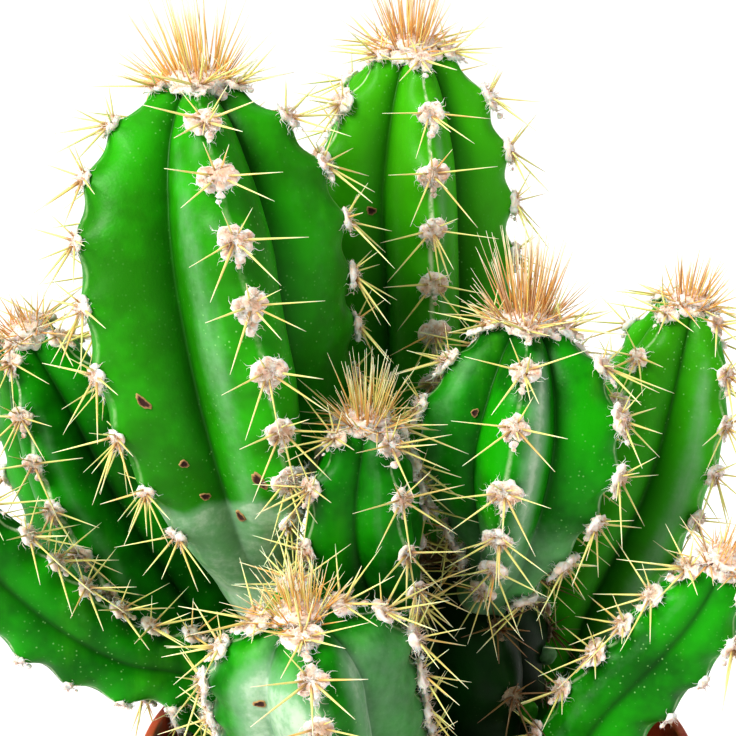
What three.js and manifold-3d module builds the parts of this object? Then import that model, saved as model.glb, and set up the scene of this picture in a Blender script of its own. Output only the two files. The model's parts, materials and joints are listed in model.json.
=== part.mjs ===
// A clump of thick ribbed columnar cactus stems in a 12 cm terracotta-coloured pot.
// Millimetres, +Z up. The origin is the middle of the pot's underside, and the front faces -Y.
import * as THREE from "three";
import { mergeVertices } from "three/addons/utils/BufferGeometryUtils.js";
import Module from "manifold-3d";

const wasm = await Module();
wasm.setup();

// ---- driving dimensions ------------------------------------------------------------------

const CLEARANCE = 0.3; // between pieces that touch on the real plant

const POT = {
  height: 106,
  rimRadius: 60,
  lipThickness: 2.4,
  lipRadius: 0.8,
  bandHeight: 15,
  bandStep: 2.6, // how far the rim band stands out from the wall below it
  footRadius: 43,
  footBevel: 1.2,
  wall: 1.8,
  floor: 2.6,
  sides: 40,
};

const DRAIN = { holes: 6, radius: 4, ring: 27, sides: 10 };

const SOIL = { level: 96.5, mound: 1.4, ripple: 0.8, rings: 4 };

// Grit on the soil, half sunk in it and clear of the stems' feet.
const GRIT = { stones: 22, radius: 1.9, radiusSpread: 0.6, flatness: 0.65, reach: 0.9, footClearance: 1.2 };

// The stem surface. Areoles are the woolly cushions on the rib crests that the spines grow from.
const RIB = {
  firstAreole: 7.5, // from the tip, along the crest
  areoleRise: 0.9, // a cushion stands this far out of its crest
  notchSink: 0.8, // and the crest dips this far halfway to the next cushion
  shoulderRise: 0.25,
  crownNotch: 1.15, // grooves are this much deeper at the crown
};

// The crest's shoulder: the fraction of the way from crest to groove, and how much of the groove's
// depth is reached there. It makes a thick blunt crest with a flank that runs down to the groove.
const SHOULDER = { across: 0.3, sink: 0.17 };

const SPINE = {
  length: 12,
  lengthSpread: 2.5,
  rootRadius: 0.45,
  sunk: 1.4, // how far its root starts under the skin
  lift: 32, // degrees out of the skin
  liftSpread: 9,
  bodyClearance: 1.7, // kept from every other stem, from the pot and from the soil
  spineClearance: 1.1, // kept from the spines of other stems
};

// Fans of spines, in degrees round the areole from straight down the rib. Areoles take them in turn.
const FANS = [
  [-72, 22],
  [68, -26],
];

// The directions tried, in turn, when a spine would run into a neighbour: [swing, extra lift].
const SWERVES = [[0, 0], [22, 8], [-22, 8], [48, 18], [-48, 18], [0, 40], [80, 25], [-80, 25], [180, 30]];

// The crown's tuft: spines on a golden-angle spiral round the tip.
const TUFT = { spines: 8, spread: 40, rootRing: 2.4, length: 13, lengthSpread: 2, goldenAngle: 137.508 };

// Each stem follows its path from foot or neck to tip. girth is the radius over the crests at the
// widest, and neck that radius at the start as a share of girth. The stem swells from the share
// collar of its length to the share waist, and its dome starts at the share shoulder. bare is the
// length without areoles, pitch the distance between areoles along a crest, depth the grooves'
// share of the radius, facing the azimuth of the first rib at the tip (0 is the front, positive
// to the right) and twist what it gains down to the foot.
const MOTHER = {
  name: "stem_mother", seated: "soil", bare: 17, pitch: 14,
  girth: 24.5, neck: 0.62, collar: 0.12, waist: 0.55, shoulder: 0.66,
  ribs: 5, depth: 0.3, facing: 35, twist: 0,
  path: [[4, 1, 87.5], [4, 1, 100], [4, 1, 125], [4, 0, 151]],
};

const STEMS = [
  MOTHER,
  {
    name: "stem_tall_left", seated: "mother", bare: 40, pitch: 11,
    girth: 26.8, neck: 0.36, collar: 0.235, waist: 0.62, shoulder: 0.73,
    ribs: 5, depth: 0.4, facing: 7, twist: 48,
    path: [[-13, -3, 133], [-23, -6, 141], [-33, -9.5, 154], [-37.5, -14, 176], [-40.5, -15, 205],
      [-42, -12.5, 230], [-43, -9, 252]],
  },
  {
    name: "stem_tall_back", seated: "mother", bare: 17, pitch: 12,
    girth: 21.3, neck: 0.6, collar: 0.1, waist: 0.46, shoulder: 0.72,
    ribs: 5, depth: 0.38, facing: 14, twist: -10,
    path: [[3, 6, 138], [3, 15, 150], [1, 25, 171], [-0.5, 29, 195], [-2, 29, 222], [-1.8, 27, 253.5]],
  },
  {
    name: "stem_middle_right", seated: "mother", bare: 19, pitch: 10,
    girth: 21, neck: 0.27, collar: 0.22, waist: 0.74, shoulder: 0.62,
    ribs: 5, depth: 0.38, facing: -3, twist: -26,
    path: [[8, -4, 136], [13, -9, 146.5], [18, -12.5, 158], [19.5, -14, 182], [20.4, -11, 206]],
  },
  {
    name: "stem_far_right", seated: "soil", bare: 17, pitch: 10.5,
    girth: 16.5, neck: 0.42, collar: 0.1, waist: 0.55, shoulder: 0.7,
    ribs: 4, depth: 0.36, facing: -48, twist: 4,
    path: [[31, 27, 87.5], [31, 27, 99], [38, 26, 130], [49.5, 23, 162], [57.7, 20, 201]],
  },
  {
    name: "stem_small_centre", seated: "mother", bare: 17, pitch: 9.5,
    girth: 12.8, neck: 0.34, collar: 0.22, waist: 0.56, shoulder: 0.62,
    ribs: 4, depth: 0.34, facing: 37, twist: 0,
    path: [[1, -6, 138], [-3.5, -14.5, 146], [-9, -22.8, 158], [-11.8, -31, 175], [-10.6, -32.5, 193.5]],
  },
  {
    name: "stem_small_front", seated: "soil", bare: 16, pitch: 8,
    girth: 18.8, neck: 0.5, collar: 0.1, waist: 0.5, shoulder: 0.84,
    ribs: 4, depth: 0.33, facing: 6, twist: -4,
    path: [[-15.5, -32.5, 87.5], [-15.5, -33, 99], [-19, -46, 136], [-23.2, -52.5, 163.5]],
  },
  {
    name: "stem_leaning_left", seated: "soil", bare: 19, pitch: 11,
    girth: 18.2, neck: 0.45, collar: 0.08, waist: 0.5, shoulder: 0.62,
    ribs: 4, depth: 0.36, facing: -25, twist: 34,
    path: [[-35, 14, 87.5], [-37, 14, 99], [-57, 12.5, 138], [-68.5, 10, 163], [-75, 6.5, 184],
      [-80.5, 2, 200]],
  },
  {
    name: "stem_low_left", seated: "soil", bare: 28, pitch: 10,
    girth: 10.4, neck: 0.44, collar: 0.16, waist: 0.8, shoulder: 0.86,
    ribs: 3, depth: 0.34, facing: 72, twist: 0,
    path: [[-27, -8, 87.5], [-27, -8.5, 104], [-32.5, -10, 120.5], [-46, -12.5, 131], [-60, -15.5, 136],
      [-74, -19, 147], [-84, -22, 159], [-91.5, -26, 174]],
  },
  {
    name: "stem_low_right", seated: "soil", bare: 24, pitch: 10,
    girth: 10.3, neck: 0.48, collar: 0.12, waist: 0.5, shoulder: 0.74,
    ribs: 3, depth: 0.32, facing: -73, twist: 0,
    path: [[27, -15, 87.5], [27.5, -15.5, 101], [36, -18, 123], [48.5, -21, 140.5], [55, -24, 152],
      [59, -27, 162.5]],
  },
];

const FINISH = {
  pot: { color: 0xb5502a, roughness: 0.5 },
  soil: { color: 0x33261c, roughness: 0.95 },
  stem: { color: 0x2c9a1c, roughness: 0.42 },
};

// ---- meshes to solids and back -----------------------------------------------------------

/** A closed geometry as a solid that can be joined and cut. */
function toSolid(geometry) {
  const bare = geometry.clone();
  bare.deleteAttribute("normal");
  bare.deleteAttribute("uv");
  const merged = mergeVertices(bare, 1e-4);
  const index = merged.index.array;
  const triangles = [];
  for (let i = 0; i < index.length; i += 3) {
    const [a, b, c] = [index[i], index[i + 1], index[i + 2]];
    if (a !== b && b !== c && c !== a) triangles.push(a, b, c);
  }
  return new wasm.Manifold(new wasm.Mesh({
    numProp: 3,
    vertProperties: new Float32Array(merged.attributes.position.array),
    triVerts: new Uint32Array(triangles),
  }));
}

/** A solid as a geometry with normals. */
function toGeometry(solid) {
  const mesh = solid.getMesh();
  const geometry = new THREE.BufferGeometry();
  geometry.setAttribute("position", new THREE.BufferAttribute(new Float32Array(mesh.vertProperties), 3));
  geometry.setIndex(new THREE.BufferAttribute(new Uint32Array(mesh.triVerts), 1));
  geometry.computeVertexNormals();
  return geometry;
}

/** A named mesh with its own material. */
function makeMesh(name, geometry, finish) {
  const material = new THREE.MeshStandardMaterial({ ...finish, metalness: 0 });
  const mesh = new THREE.Mesh(geometry, material);
  mesh.name = name;
  return mesh;
}

/** A closed profile of [radius, height] points turned round the Z axis. */
function turn(profile, sides) {
  const points = profile.map(([radius, height]) => new THREE.Vector2(radius, height));
  return new THREE.LatheGeometry(points, sides).rotateX(Math.PI / 2);
}

/** A repeatable random source that gives numbers from -1 to 1. */
function seededSpread(seed) {
  let state = seed;
  return () => {
    state = (state * 1664525 + 1013904223) % 4294967296;
    return state / 2147483648 - 1;
  };
}

/** A smooth rise from 0 at start to 1 at end. */
function ease(start, end, value) {
  return THREE.MathUtils.smoothstep(value, start, end);
}

// ---- pot and soil ------------------------------------------------------------------------

const bandFoot = POT.height - POT.bandHeight;

/** The outer radius of the pot's tapering wall at a height below the rim band. */
function potWallRadius(height) {
  return THREE.MathUtils.lerp(POT.footRadius, POT.rimRadius - POT.bandStep, height / bandFoot);
}

/** The inner radius of the pot at a height: it widens behind the rim band. */
function potBoreRadius(height) {
  if (height <= bandFoot) return potWallRadius(height) - POT.wall;
  const climb = (height - bandFoot) / POT.bandHeight;
  return THREE.MathUtils.lerp(potWallRadius(bandFoot) - POT.wall, POT.rimRadius - POT.lipThickness, climb);
}

/** The pot: a tapered wall, a rim band that steps out, a rounded lip and a floor with drain holes. */
function makePot() {
  const profile = [
    [0, 0],
    [POT.footRadius - POT.footBevel, 0],
    [potWallRadius(POT.footBevel), POT.footBevel],
    [potWallRadius(bandFoot), bandFoot],
    [POT.rimRadius - POT.lipRadius, bandFoot],
    [POT.rimRadius, POT.height - POT.lipRadius],
    [POT.rimRadius - POT.lipRadius, POT.height],
    [potBoreRadius(POT.height) + POT.lipRadius, POT.height],
    [potBoreRadius(POT.height - POT.lipRadius), POT.height - POT.lipRadius],
    [potBoreRadius(bandFoot), bandFoot],
    [potBoreRadius(POT.floor), POT.floor],
    [0, POT.floor],
  ];
  const holes = [];
  for (let i = 0; i < DRAIN.holes; i++) {
    const angle = (i + 0.5) * 2 * Math.PI / DRAIN.holes;
    const hole = new THREE.CylinderGeometry(DRAIN.radius, DRAIN.radius, POT.floor * 3, DRAIN.sides);
    hole.rotateX(Math.PI / 2);
    hole.translate(DRAIN.ring * Math.cos(angle), DRAIN.ring * Math.sin(angle), POT.floor / 2);
    holes.push(toSolid(hole));
  }
  const pot = toSolid(turn(profile, POT.sides)).subtract(wasm.Manifold.union(holes));
  return makeMesh("pot", toGeometry(pot), FINISH.pot);
}

/** The soil's surface height over a point: a low mound with ripples that fade at the wall. */
function soilHeight(x, y) {
  const share = Math.min(Math.hypot(x, y) / potBoreRadius(SOIL.level), 1);
  const ripple = Math.sin(0.33 * x + 0.8) * Math.cos(0.29 * y - 0.4) + 0.5 * Math.sin(0.51 * (x + y));
  return SOIL.level + SOIL.mound * (1 - share * share) + SOIL.ripple * ripple * (1 - share ** 4);
}

/** Stones strewn over the soil, clear of the stems that stand in it. */
function makeGrit(rooted) {
  const spread = seededSpread(41);
  const stones = [];
  while (stones.length < GRIT.stones) {
    const reach = GRIT.reach * potBoreRadius(SOIL.level) * Math.sqrt(Math.abs(spread()));
    const angle = Math.PI * spread();
    const radius = GRIT.radius + GRIT.radiusSpread * spread();
    const [x, y] = [reach * Math.cos(angle), reach * Math.sin(angle)];
    const place = new THREE.Vector3(x, y, soilHeight(x, y));
    const tilt = new THREE.Euler(Math.PI * spread(), 0.4 * spread(), Math.PI * spread());
    if (rooted.some((stem) => distanceToStem(stem, place) < radius + GRIT.footClearance)) continue;
    const stone = new THREE.IcosahedronGeometry(radius, 0).scale(1, 1, GRIT.flatness);
    stone.applyMatrix4(new THREE.Matrix4().makeRotationFromEuler(tilt));
    stones.push(toSolid(stone.translate(...place.toArray())));
  }
  return stones;
}

/** The soil with its grit, and a plain hole for the foot of every stem that stands in it. */
function makeSoil(rooted) {
  const bottom = POT.floor + CLEARANCE;
  const profile = [
    [0, bottom],
    [potBoreRadius(bottom) - CLEARANCE, bottom],
    [potBoreRadius(bandFoot) - CLEARANCE, bandFoot],
  ];
  for (let ring = SOIL.rings; ring >= 0; ring--) {
    profile.push([(potBoreRadius(SOIL.level) - CLEARANCE) * ring / SOIL.rings, SOIL.level]);
  }
  const geometry = turn(profile, POT.sides);
  const position = geometry.attributes.position;
  for (let i = 0; i < position.count; i++) {
    const onTop = position.getZ(i) > (bandFoot + SOIL.level) / 2;
    if (onTop) position.setZ(i, soilHeight(position.getX(i), position.getY(i)));
  }
  const feet = rooted.map((stem) => stemBody(stem, CLEARANCE));
  const filling = wasm.Manifold.union([toSolid(geometry), ...makeGrit(rooted)]);
  const soil = filling.subtract(wasm.Manifold.union(feet));
  return makeMesh("soil", toGeometry(soil), FINISH.soil);
}

// ---- stem bodies -------------------------------------------------------------------------

/** A stem with its axis curve and length worked out. */
function plant(stem) {
  const points = stem.path.map((point) => new THREE.Vector3(...point));
  const axis = new THREE.CatmullRomCurve3(points, false, "centripetal");
  return { ...stem, axis, length: axis.getLength() };
}

/** The radius over the crests at a share of the stem's length: a neck, a swelling and a dome. */
function crestRadius(stem, share) {
  const swollen = THREE.MathUtils.clamp((share - stem.collar) / (stem.waist - stem.collar), 0, 1);
  const swelling = Math.sin(Math.PI / 2 * swollen) ** 1.25;
  const dome = Math.max(0, (share - stem.shoulder) / (1 - stem.shoulder));
  return stem.girth * (stem.neck + (1 - stem.neck) * swelling) * Math.sqrt(Math.max(0, 1 - dome * dome));
}

/** The depth of the grooves at a share of the length, as a share of the crest radius. */
function grooveDepth(stem, share) {
  const bareShare = stem.bare / stem.length;
  const deeper = 1 + (RIB.crownNotch - 1) * ease(stem.shoulder, 1, share);
  return stem.depth * deeper * ease(bareShare * 0.5, bareShare * 1.8, share);
}

/** The frame of the stem's cross-section at a share of its length. */
function crossFrame(stem, share) {
  const centre = stem.axis.getPointAt(share);
  const up = stem.axis.getTangentAt(share);
  const front = new THREE.Vector3(0, -1, 0).projectOnPlane(up).normalize();
  const side = new THREE.Vector3().crossVectors(up, front);
  const turnAngle = stem.facing + stem.twist * (1 - share);
  return { centre, up, front, side, turnAngle };
}

/** The direction out of the axis at an azimuth in degrees. */
function outward(frame, azimuth) {
  const angle = THREE.MathUtils.degToRad(azimuth);
  return frame.front.clone().multiplyScalar(Math.cos(angle)).addScaledVector(frame.side, Math.sin(angle));
}

/** The slope of the crest's profile at a share: unit steps along the axis and out of it. */
function crestSlope(stem, share) {
  const step = 0.004;
  const low = Math.max(0, share - step);
  const high = Math.min(1, share + step);
  const along = (high - low) * stem.length;
  const out = crestRadius(stem, high) - crestRadius(stem, low);
  const size = Math.hypot(along, out);
  return { along: along / size, out: out / size };
}

/** The direction out of the crest's profile at a share and an azimuth. */
function skinNormal(stem, frame, share, azimuth) {
  const slope = crestSlope(stem, share);
  return outward(frame, azimuth).multiplyScalar(slope.along).addScaledVector(frame.up, -slope.out);
}

/** The shares of the length where areoles sit, from the tip down, evenly spaced along the crest. */
function areoleShares(stem) {
  const steps = 400;
  const shares = [];
  let travelled = 0;
  let target = RIB.firstAreole;
  for (let i = steps - 1; i >= 0; i--) {
    const share = i / steps;
    const above = (i + 1) / steps;
    travelled += Math.hypot(stem.length / steps, crestRadius(stem, above) - crestRadius(stem, share));
    if (share * stem.length < stem.bare) break;
    if (travelled >= target) {
      shares.push(share);
      target += stem.pitch;
    }
  }
  return shares;
}

/** The rows of the stem's mesh, from the foot to just under the tip. */
function stemRows(stem) {
  const areoles = areoleShares(stem);
  const bareShare = stem.bare / stem.length;
  const rows = [];
  areoles.forEach((share, i) => {
    rows.push({ share, relief: 1 });
    const next = areoles[i + 1];
    if (next !== undefined) rows.push({ share: (share + next) / 2, relief: -1 });
  });
  const lowest = areoles[areoles.length - 1];
  rows.push({ share: (lowest + bareShare * 0.62) / 2, relief: 0 });
  rows.push({ share: bareShare * 0.62, relief: 0 });
  rows.push({ share: 0, relief: 0 });
  rows.unshift({ share: (1 + 2 * areoles[0]) / 3, relief: -0.6 });
  return rows.reverse();
}

/** One point of the skin: across runs from 0 on a crest to 1 in a groove. */
function skinPoint(stem, frame, row, azimuth, sink) {
  const radius = crestRadius(stem, row.share) * (1 - grooveDepth(stem, row.share) * sink);
  const point = frame.centre.clone().addScaledVector(outward(frame, azimuth), radius);
  let rise = 0;
  if (sink === 0) rise = row.relief > 0 ? RIB.areoleRise : RIB.notchSink * row.relief;
  else if (sink < 1) rise = RIB.shoulderRise * row.relief;
  return point.addScaledVector(skinNormal(stem, frame, row.share, azimuth), rise);
}

/** The stem's body, grown on all sides by a clearance, which its seat is cut with. */
function stemBody(stem, clearance = 0) {
  const half = 180 / stem.ribs;
  const positions = [];
  const rows = stemRows(stem);
  for (const row of rows) {
    const frame = crossFrame(stem, row.share);
    for (let rib = 0; rib < stem.ribs; rib++) {
      const crest = frame.turnAngle + 2 * half * rib;
      const stations = [
        { azimuth: crest - SHOULDER.across * half, sink: SHOULDER.sink },
        { azimuth: crest, sink: 0 },
        { azimuth: crest + SHOULDER.across * half, sink: SHOULDER.sink },
        { azimuth: crest + half, sink: 1 },
      ];
      for (const { azimuth, sink } of stations) {
        const point = skinPoint(stem, frame, row, azimuth, sink);
        point.addScaledVector(skinNormal(stem, frame, row.share, azimuth), clearance);
        if (row.share === 0) point.addScaledVector(frame.up, -clearance);
        positions.push(...point.toArray());
      }
    }
  }
  const columns = positions.length / 3 / rows.length;
  const index = [];
  for (let row = 0; row + 1 < rows.length; row++) {
    for (let column = 0; column < columns; column++) {
      const next = (column + 1) % columns;
      const [a, b] = [row * columns + column, row * columns + next];
      index.push(a, b, b + columns, a, b + columns, a + columns);
    }
  }
  const foot = positions.length / 3;
  const tip = foot + 1;
  const start = crossFrame(stem, 0);
  const end = crossFrame(stem, 1);
  positions.push(...start.centre.clone().addScaledVector(start.up, -clearance).toArray());
  positions.push(...end.centre.clone().addScaledVector(end.up, clearance).toArray());
  const lastRow = (rows.length - 1) * columns;
  for (let column = 0; column < columns; column++) {
    const next = (column + 1) % columns;
    index.push(foot, next, column);
    index.push(tip, lastRow + column, lastRow + next);
  }
  const geometry = new THREE.BufferGeometry();
  geometry.setAttribute("position", new THREE.Float32BufferAttribute(positions, 3));
  geometry.setIndex(index);
  return toSolid(geometry);
}

// ---- spines ------------------------------------------------------------------------------

/** How far a point lies outside a stem, reckoned as a row of balls along its axis. */
function distanceToStem(stem, point) {
  let nearest = Infinity;
  const balls = 48;
  for (let i = 0; i <= balls; i++) {
    const share = i / balls;
    const reach = stem.axis.getPointAt(share).distanceTo(point) - crestRadius(stem, share);
    nearest = Math.min(nearest, reach);
  }
  return nearest;
}

/** How far a point lies above the soil, or from the pot's rim when it is outside it. */
function distanceToPot(point) {
  const radius = Math.hypot(point.x, point.y);
  const overSoil = point.z - (SOIL.level + SOIL.mound + 1);
  const pastRim = Math.max(point.z - POT.height, radius - POT.rimRadius);
  const insideRim = POT.rimRadius - POT.lipThickness - radius;
  return insideRim > 0 ? Math.min(overSoil, Math.max(insideRim, pastRim)) : pastRim;
}

/** The smallest distance between two straight spines, each given by its ends. */
function distanceBetween(spine, other) {
  const along = spine.tip.clone().sub(spine.root);
  const probes = 8;
  let nearest = Infinity;
  const onOther = new THREE.Vector3();
  const line = new THREE.Line3(other.root, other.tip);
  for (let i = 0; i <= probes; i++) {
    const point = spine.root.clone().addScaledVector(along, i / probes);
    line.closestPointToPoint(point, true, onOther);
    nearest = Math.min(nearest, onOther.distanceTo(point));
  }
  return nearest;
}

/** Whether a spine clears every other stem, the pot, the soil and the spines of other stems. */
function isClear(spine, stem, stems, grown) {
  const checks = 5;
  for (let i = 1; i <= checks; i++) {
    const point = spine.root.clone().lerp(spine.tip, i / checks);
    if (distanceToPot(point) < SPINE.bodyClearance) return false;
    for (const other of stems) {
      if (other.name !== stem.name && distanceToStem(other, point) < SPINE.bodyClearance) return false;
    }
  }
  const others = grown.filter((other) => other.stem !== stem.name);
  return others.every((other) => distanceBetween(spine, other) > SPINE.spineClearance);
}

/** The unit vectors at an areole: out of the skin, up the crest and across it, and its place. */
function areoleFrame(stem, share, rib) {
  const frame = crossFrame(stem, share);
  const azimuth = frame.turnAngle + 360 / stem.ribs * rib;
  const place = skinPoint(stem, frame, { share, relief: 1 }, azimuth, 0);
  const out = skinNormal(stem, frame, share, azimuth);
  const slope = crestSlope(stem, share);
  const up = outward(frame, azimuth).multiplyScalar(slope.out).addScaledVector(frame.up, slope.along);
  return { place, out, up, across: new THREE.Vector3().crossVectors(up, out) };
}

/** A spine from an areole, swung by an angle round it and lifted out of the skin. */
function aimSpine(areole, swing, lift, length) {
  const round = THREE.MathUtils.degToRad(swing);
  const raised = THREE.MathUtils.degToRad(lift);
  const direction = areole.up.clone().multiplyScalar(-Math.cos(round) * Math.cos(raised));
  direction.addScaledVector(areole.across, Math.sin(round) * Math.cos(raised));
  direction.addScaledVector(areole.out, Math.sin(raised));
  const root = areole.place.clone().addScaledVector(areole.out, -SPINE.sunk);
  return { root, tip: areole.place.clone().addScaledVector(direction, length) };
}

/** The spines of one stem that clear everything else, fans on the ribs and a tuft on the crown. */
function growSpines(stem, stems, grown, seed) {
  const spread = seededSpread(seed);
  const spines = [];
  const keep = (spine) => {
    const clear = isClear(spine, stem, stems, grown);
    if (clear) spines.push({ ...spine, stem: stem.name });
    return clear;
  };
  areoleShares(stem).forEach((share, level) => {
    for (let rib = 0; rib < stem.ribs; rib++) {
      const areole = areoleFrame(stem, share, rib);
      for (const swing of FANS[(level + rib) % FANS.length]) {
        const length = SPINE.length + SPINE.lengthSpread * spread();
        const jitter = 9 * spread();
        const lift = SPINE.lift + SPINE.liftSpread * spread();
        const aim = swing + jitter;
        SWERVES.some(([turned, raised]) => keep(aimSpine(areole, aim + turned, lift + raised, length)));
      }
    }
  });
  const crown = crossFrame(stem, 1);
  for (let i = 0; i < TUFT.spines; i++) {
    const share = Math.sqrt((i + 0.5) / TUFT.spines);
    const around = outward(crown, i * TUFT.goldenAngle);
    const tilt = THREE.MathUtils.degToRad(TUFT.spread * share);
    const direction = crown.up.clone().multiplyScalar(Math.cos(tilt)).addScaledVector(around, Math.sin(tilt));
    const root = crown.centre.clone().addScaledVector(around, TUFT.rootRing * share);
    root.addScaledVector(crown.up, -SPINE.sunk * (1 + share));
    const length = TUFT.length + TUFT.lengthSpread * spread() + SPINE.sunk;
    keep({ root, tip: root.clone().addScaledVector(direction, length) });
  }
  return spines;
}

/** A spine as a slim three-sided cone. */
function spineSolid({ root, tip }) {
  const along = tip.clone().sub(root);
  const coneAxis = new THREE.Vector3(0, 1, 0);
  const cone = new THREE.ConeGeometry(SPINE.rootRadius, along.length(), 3, 1);
  cone.applyQuaternion(new THREE.Quaternion().setFromUnitVectors(coneAxis, along.clone().normalize()));
  cone.translate(...root.clone().addScaledVector(along, 0.5).toArray());
  return toSolid(cone);
}

// ---- assembly ----------------------------------------------------------------------------

/** Every stem, each one body with its spines, and branches cut back to the mother stem's skin. */
function makeStems(stems) {
  const mother = stems.find((stem) => stem.name === MOTHER.name);
  const motherSeat = stemBody(mother, CLEARANCE);
  const grown = [];
  return stems.map((stem, i) => {
    const spines = growSpines(stem, stems, grown, 1000 + 77 * i);
    grown.push(...spines);
    let body = stemBody(stem);
    if (stem.seated === "mother") body = body.subtract(motherSeat);
    const whole = wasm.Manifold.union([body, ...spines.map(spineSolid)]);
    return makeMesh(stem.name, toGeometry(whole), FINISH.stem);
  });
}

const stems = STEMS.map(plant);
const rooted = stems.filter((stem) => stem.seated === "soil");

const group = new THREE.Group();
group.add(makePot(), makeSoil(rooted), ...makeStems(stems));

export default group;
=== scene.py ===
"""The looks of a clump of ribbed columnar cactus stems in a terracotta-coloured pot."""
import json
import logging
import math
from collections.abc import Iterator
from dataclasses import dataclass
from enum import Enum
from typing import Any

import bpy
import numpy as np
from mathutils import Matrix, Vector
from mathutils.bvhtree import BVHTree

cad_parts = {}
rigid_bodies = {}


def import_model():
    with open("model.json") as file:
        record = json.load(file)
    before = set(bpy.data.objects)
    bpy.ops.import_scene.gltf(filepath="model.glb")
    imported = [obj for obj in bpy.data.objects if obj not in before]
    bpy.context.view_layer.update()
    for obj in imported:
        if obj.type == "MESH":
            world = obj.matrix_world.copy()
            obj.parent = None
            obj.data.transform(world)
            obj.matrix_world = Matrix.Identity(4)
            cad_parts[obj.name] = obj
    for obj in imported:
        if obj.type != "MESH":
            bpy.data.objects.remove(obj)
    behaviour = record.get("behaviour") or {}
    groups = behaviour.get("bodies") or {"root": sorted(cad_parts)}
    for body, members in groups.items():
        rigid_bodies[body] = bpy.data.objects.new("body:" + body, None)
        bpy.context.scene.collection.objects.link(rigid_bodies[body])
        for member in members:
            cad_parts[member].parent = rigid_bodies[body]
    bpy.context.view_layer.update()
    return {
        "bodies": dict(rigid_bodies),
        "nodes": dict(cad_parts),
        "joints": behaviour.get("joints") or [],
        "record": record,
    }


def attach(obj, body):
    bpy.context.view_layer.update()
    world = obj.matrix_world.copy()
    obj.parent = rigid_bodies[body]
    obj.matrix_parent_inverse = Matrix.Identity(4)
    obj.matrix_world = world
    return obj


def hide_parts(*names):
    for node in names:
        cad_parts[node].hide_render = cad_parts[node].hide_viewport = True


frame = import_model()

BODY = "root"
MM = 0.001
FRONT = np.array([0.0, -1.0, 0.0])
UP = np.array([0.0, 0.0, 1.0])
GOLDEN_ANGLE = math.radians(137.508)

Array = np.ndarray
Rows = dict[str, Array]
Faces = list[list[int]]
Pair = tuple[float, float]
Triple = tuple[float, float, float]
Colour = tuple[float, float, float]
Piece = bpy.types.Object
Socket = bpy.types.NodeSocket

log = logging.getLogger("cactus")


def lerp(start: float, end: float, share: Any) -> Any:
    """The value a share of the way from start to end."""
    return start + (end - start) * share


def smoothstep(start: float, end: float, value: Any) -> Any:
    """A smooth rise from 0 at start to 1 at end."""
    share = np.clip((np.asarray(value, float) - start) / (end - start), 0, 1)
    return share * share * (3 - 2 * share)


def unit(vectors: Array) -> Array:
    """The vectors at length 1."""
    return vectors / np.linalg.norm(vectors, axis=-1, keepdims=True)


def linear(red: int, green: int, blue: int) -> Colour:
    """A colour of the screen, 0 to 255 in each channel, as scene-linear numbers."""
    shares = (channel / 255 for channel in (red, green, blue))
    return tuple(s / 12.92 if s <= 0.04045 else ((s + 0.055) / 1.055) ** 2.4 for s in shares)


# ---- meshes and pieces -------------------------------------------------------------------


def link(name: str, data: Any) -> Piece:
    """Puts something in the scene.

    Args:
        name: The object's name.
        data: Its mesh, lamp or camera.

    Returns:
        The object.
    """
    made = bpy.data.objects.new(name, data)
    bpy.context.collection.objects.link(made)
    return made


def plain_mesh(piece: Piece) -> bpy.types.Mesh:
    """A new mesh of a piece, as its modifiers leave it."""
    graph = bpy.context.evaluated_depsgraph_get()
    return bpy.data.meshes.new_from_object(piece.evaluated_get(graph), depsgraph=graph,
                                           preserve_all_data_layers=True)


def make_object(name: str, points: Array, faces: Any, smooth: bool = True) -> Piece:
    """Makes a mesh object at the origin.

    Args:
        name: The piece's name.
        points: Corners in millimetres, one row each.
        faces: Corner indices of each face, or nothing for loose points.
        smooth: Whether the faces are shaded smooth.

    Returns:
        The object, linked to the scene.
    """
    mesh = bpy.data.meshes.new(name)
    rings = faces.tolist() if isinstance(faces, np.ndarray) else faces
    mesh.from_pydata((np.asarray(points) * MM).tolist(), [], rings)
    if rings:
        mesh.polygons.foreach_set("use_smooth", [smooth] * len(mesh.polygons))
    mesh.update()
    return link(name, mesh)


def store(piece: Piece, name: str, values: Array) -> None:
    """Keeps a number or a vector at each corner of a piece as a named attribute.

    Args:
        piece: The piece.
        name: The attribute's name.
        values: A number or a row of three for each corner.
    """
    values = np.asarray(values, np.float32)
    kind, key = ("FLOAT_VECTOR", "vector") if values.ndim == 2 else ("FLOAT", "value")
    piece.data.attributes.new(name, kind, "POINT").data.foreach_set(key, values.ravel())


def settle(piece: Piece, finish: "Finish", slot: str, *nodes: str) -> None:
    """Gives a finished piece its material, its place on the body and what it stands for.

    Args:
        piece: The finished piece.
        finish: What it is made of.
        slot: The name of a material slot; not used.
        *nodes: The construction nodes that it stands for.
    """
    piece.data.materials.clear()
    piece.data.materials.append(finish.material())
    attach(piece, BODY)
    if nodes:
        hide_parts(*nodes)
    log.info("%s: %d faces", piece.name, len(piece.data.polygons))


def turned(profile: Array, sides: int) -> tuple[Array, Faces]:
    """Turns a profile round the Z axis.

    Args:
        profile: Rows of (radius, height) that start and end on the axis, from the middle of
            the underside round the outside.
        sides: Steps of the turn.

    Returns:
        The corners and the faces of the closed body, with its faces pointing out.
    """
    angles = np.arange(sides) * 2 * math.pi / sides
    rings = profile[1:-1]
    points = np.zeros((len(rings), sides, 3))
    points[..., 0] = rings[:, :1] * np.cos(angles)
    points[..., 1] = rings[:, :1] * np.sin(angles)
    points[..., 2] = rings[:, 1:]
    ends = np.array([[0, 0, profile[0, 1]], [0, 0, profile[-1, 1]]])
    return np.vstack([points.reshape(-1, 3), ends]), tube_faces(len(rings), sides)


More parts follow.
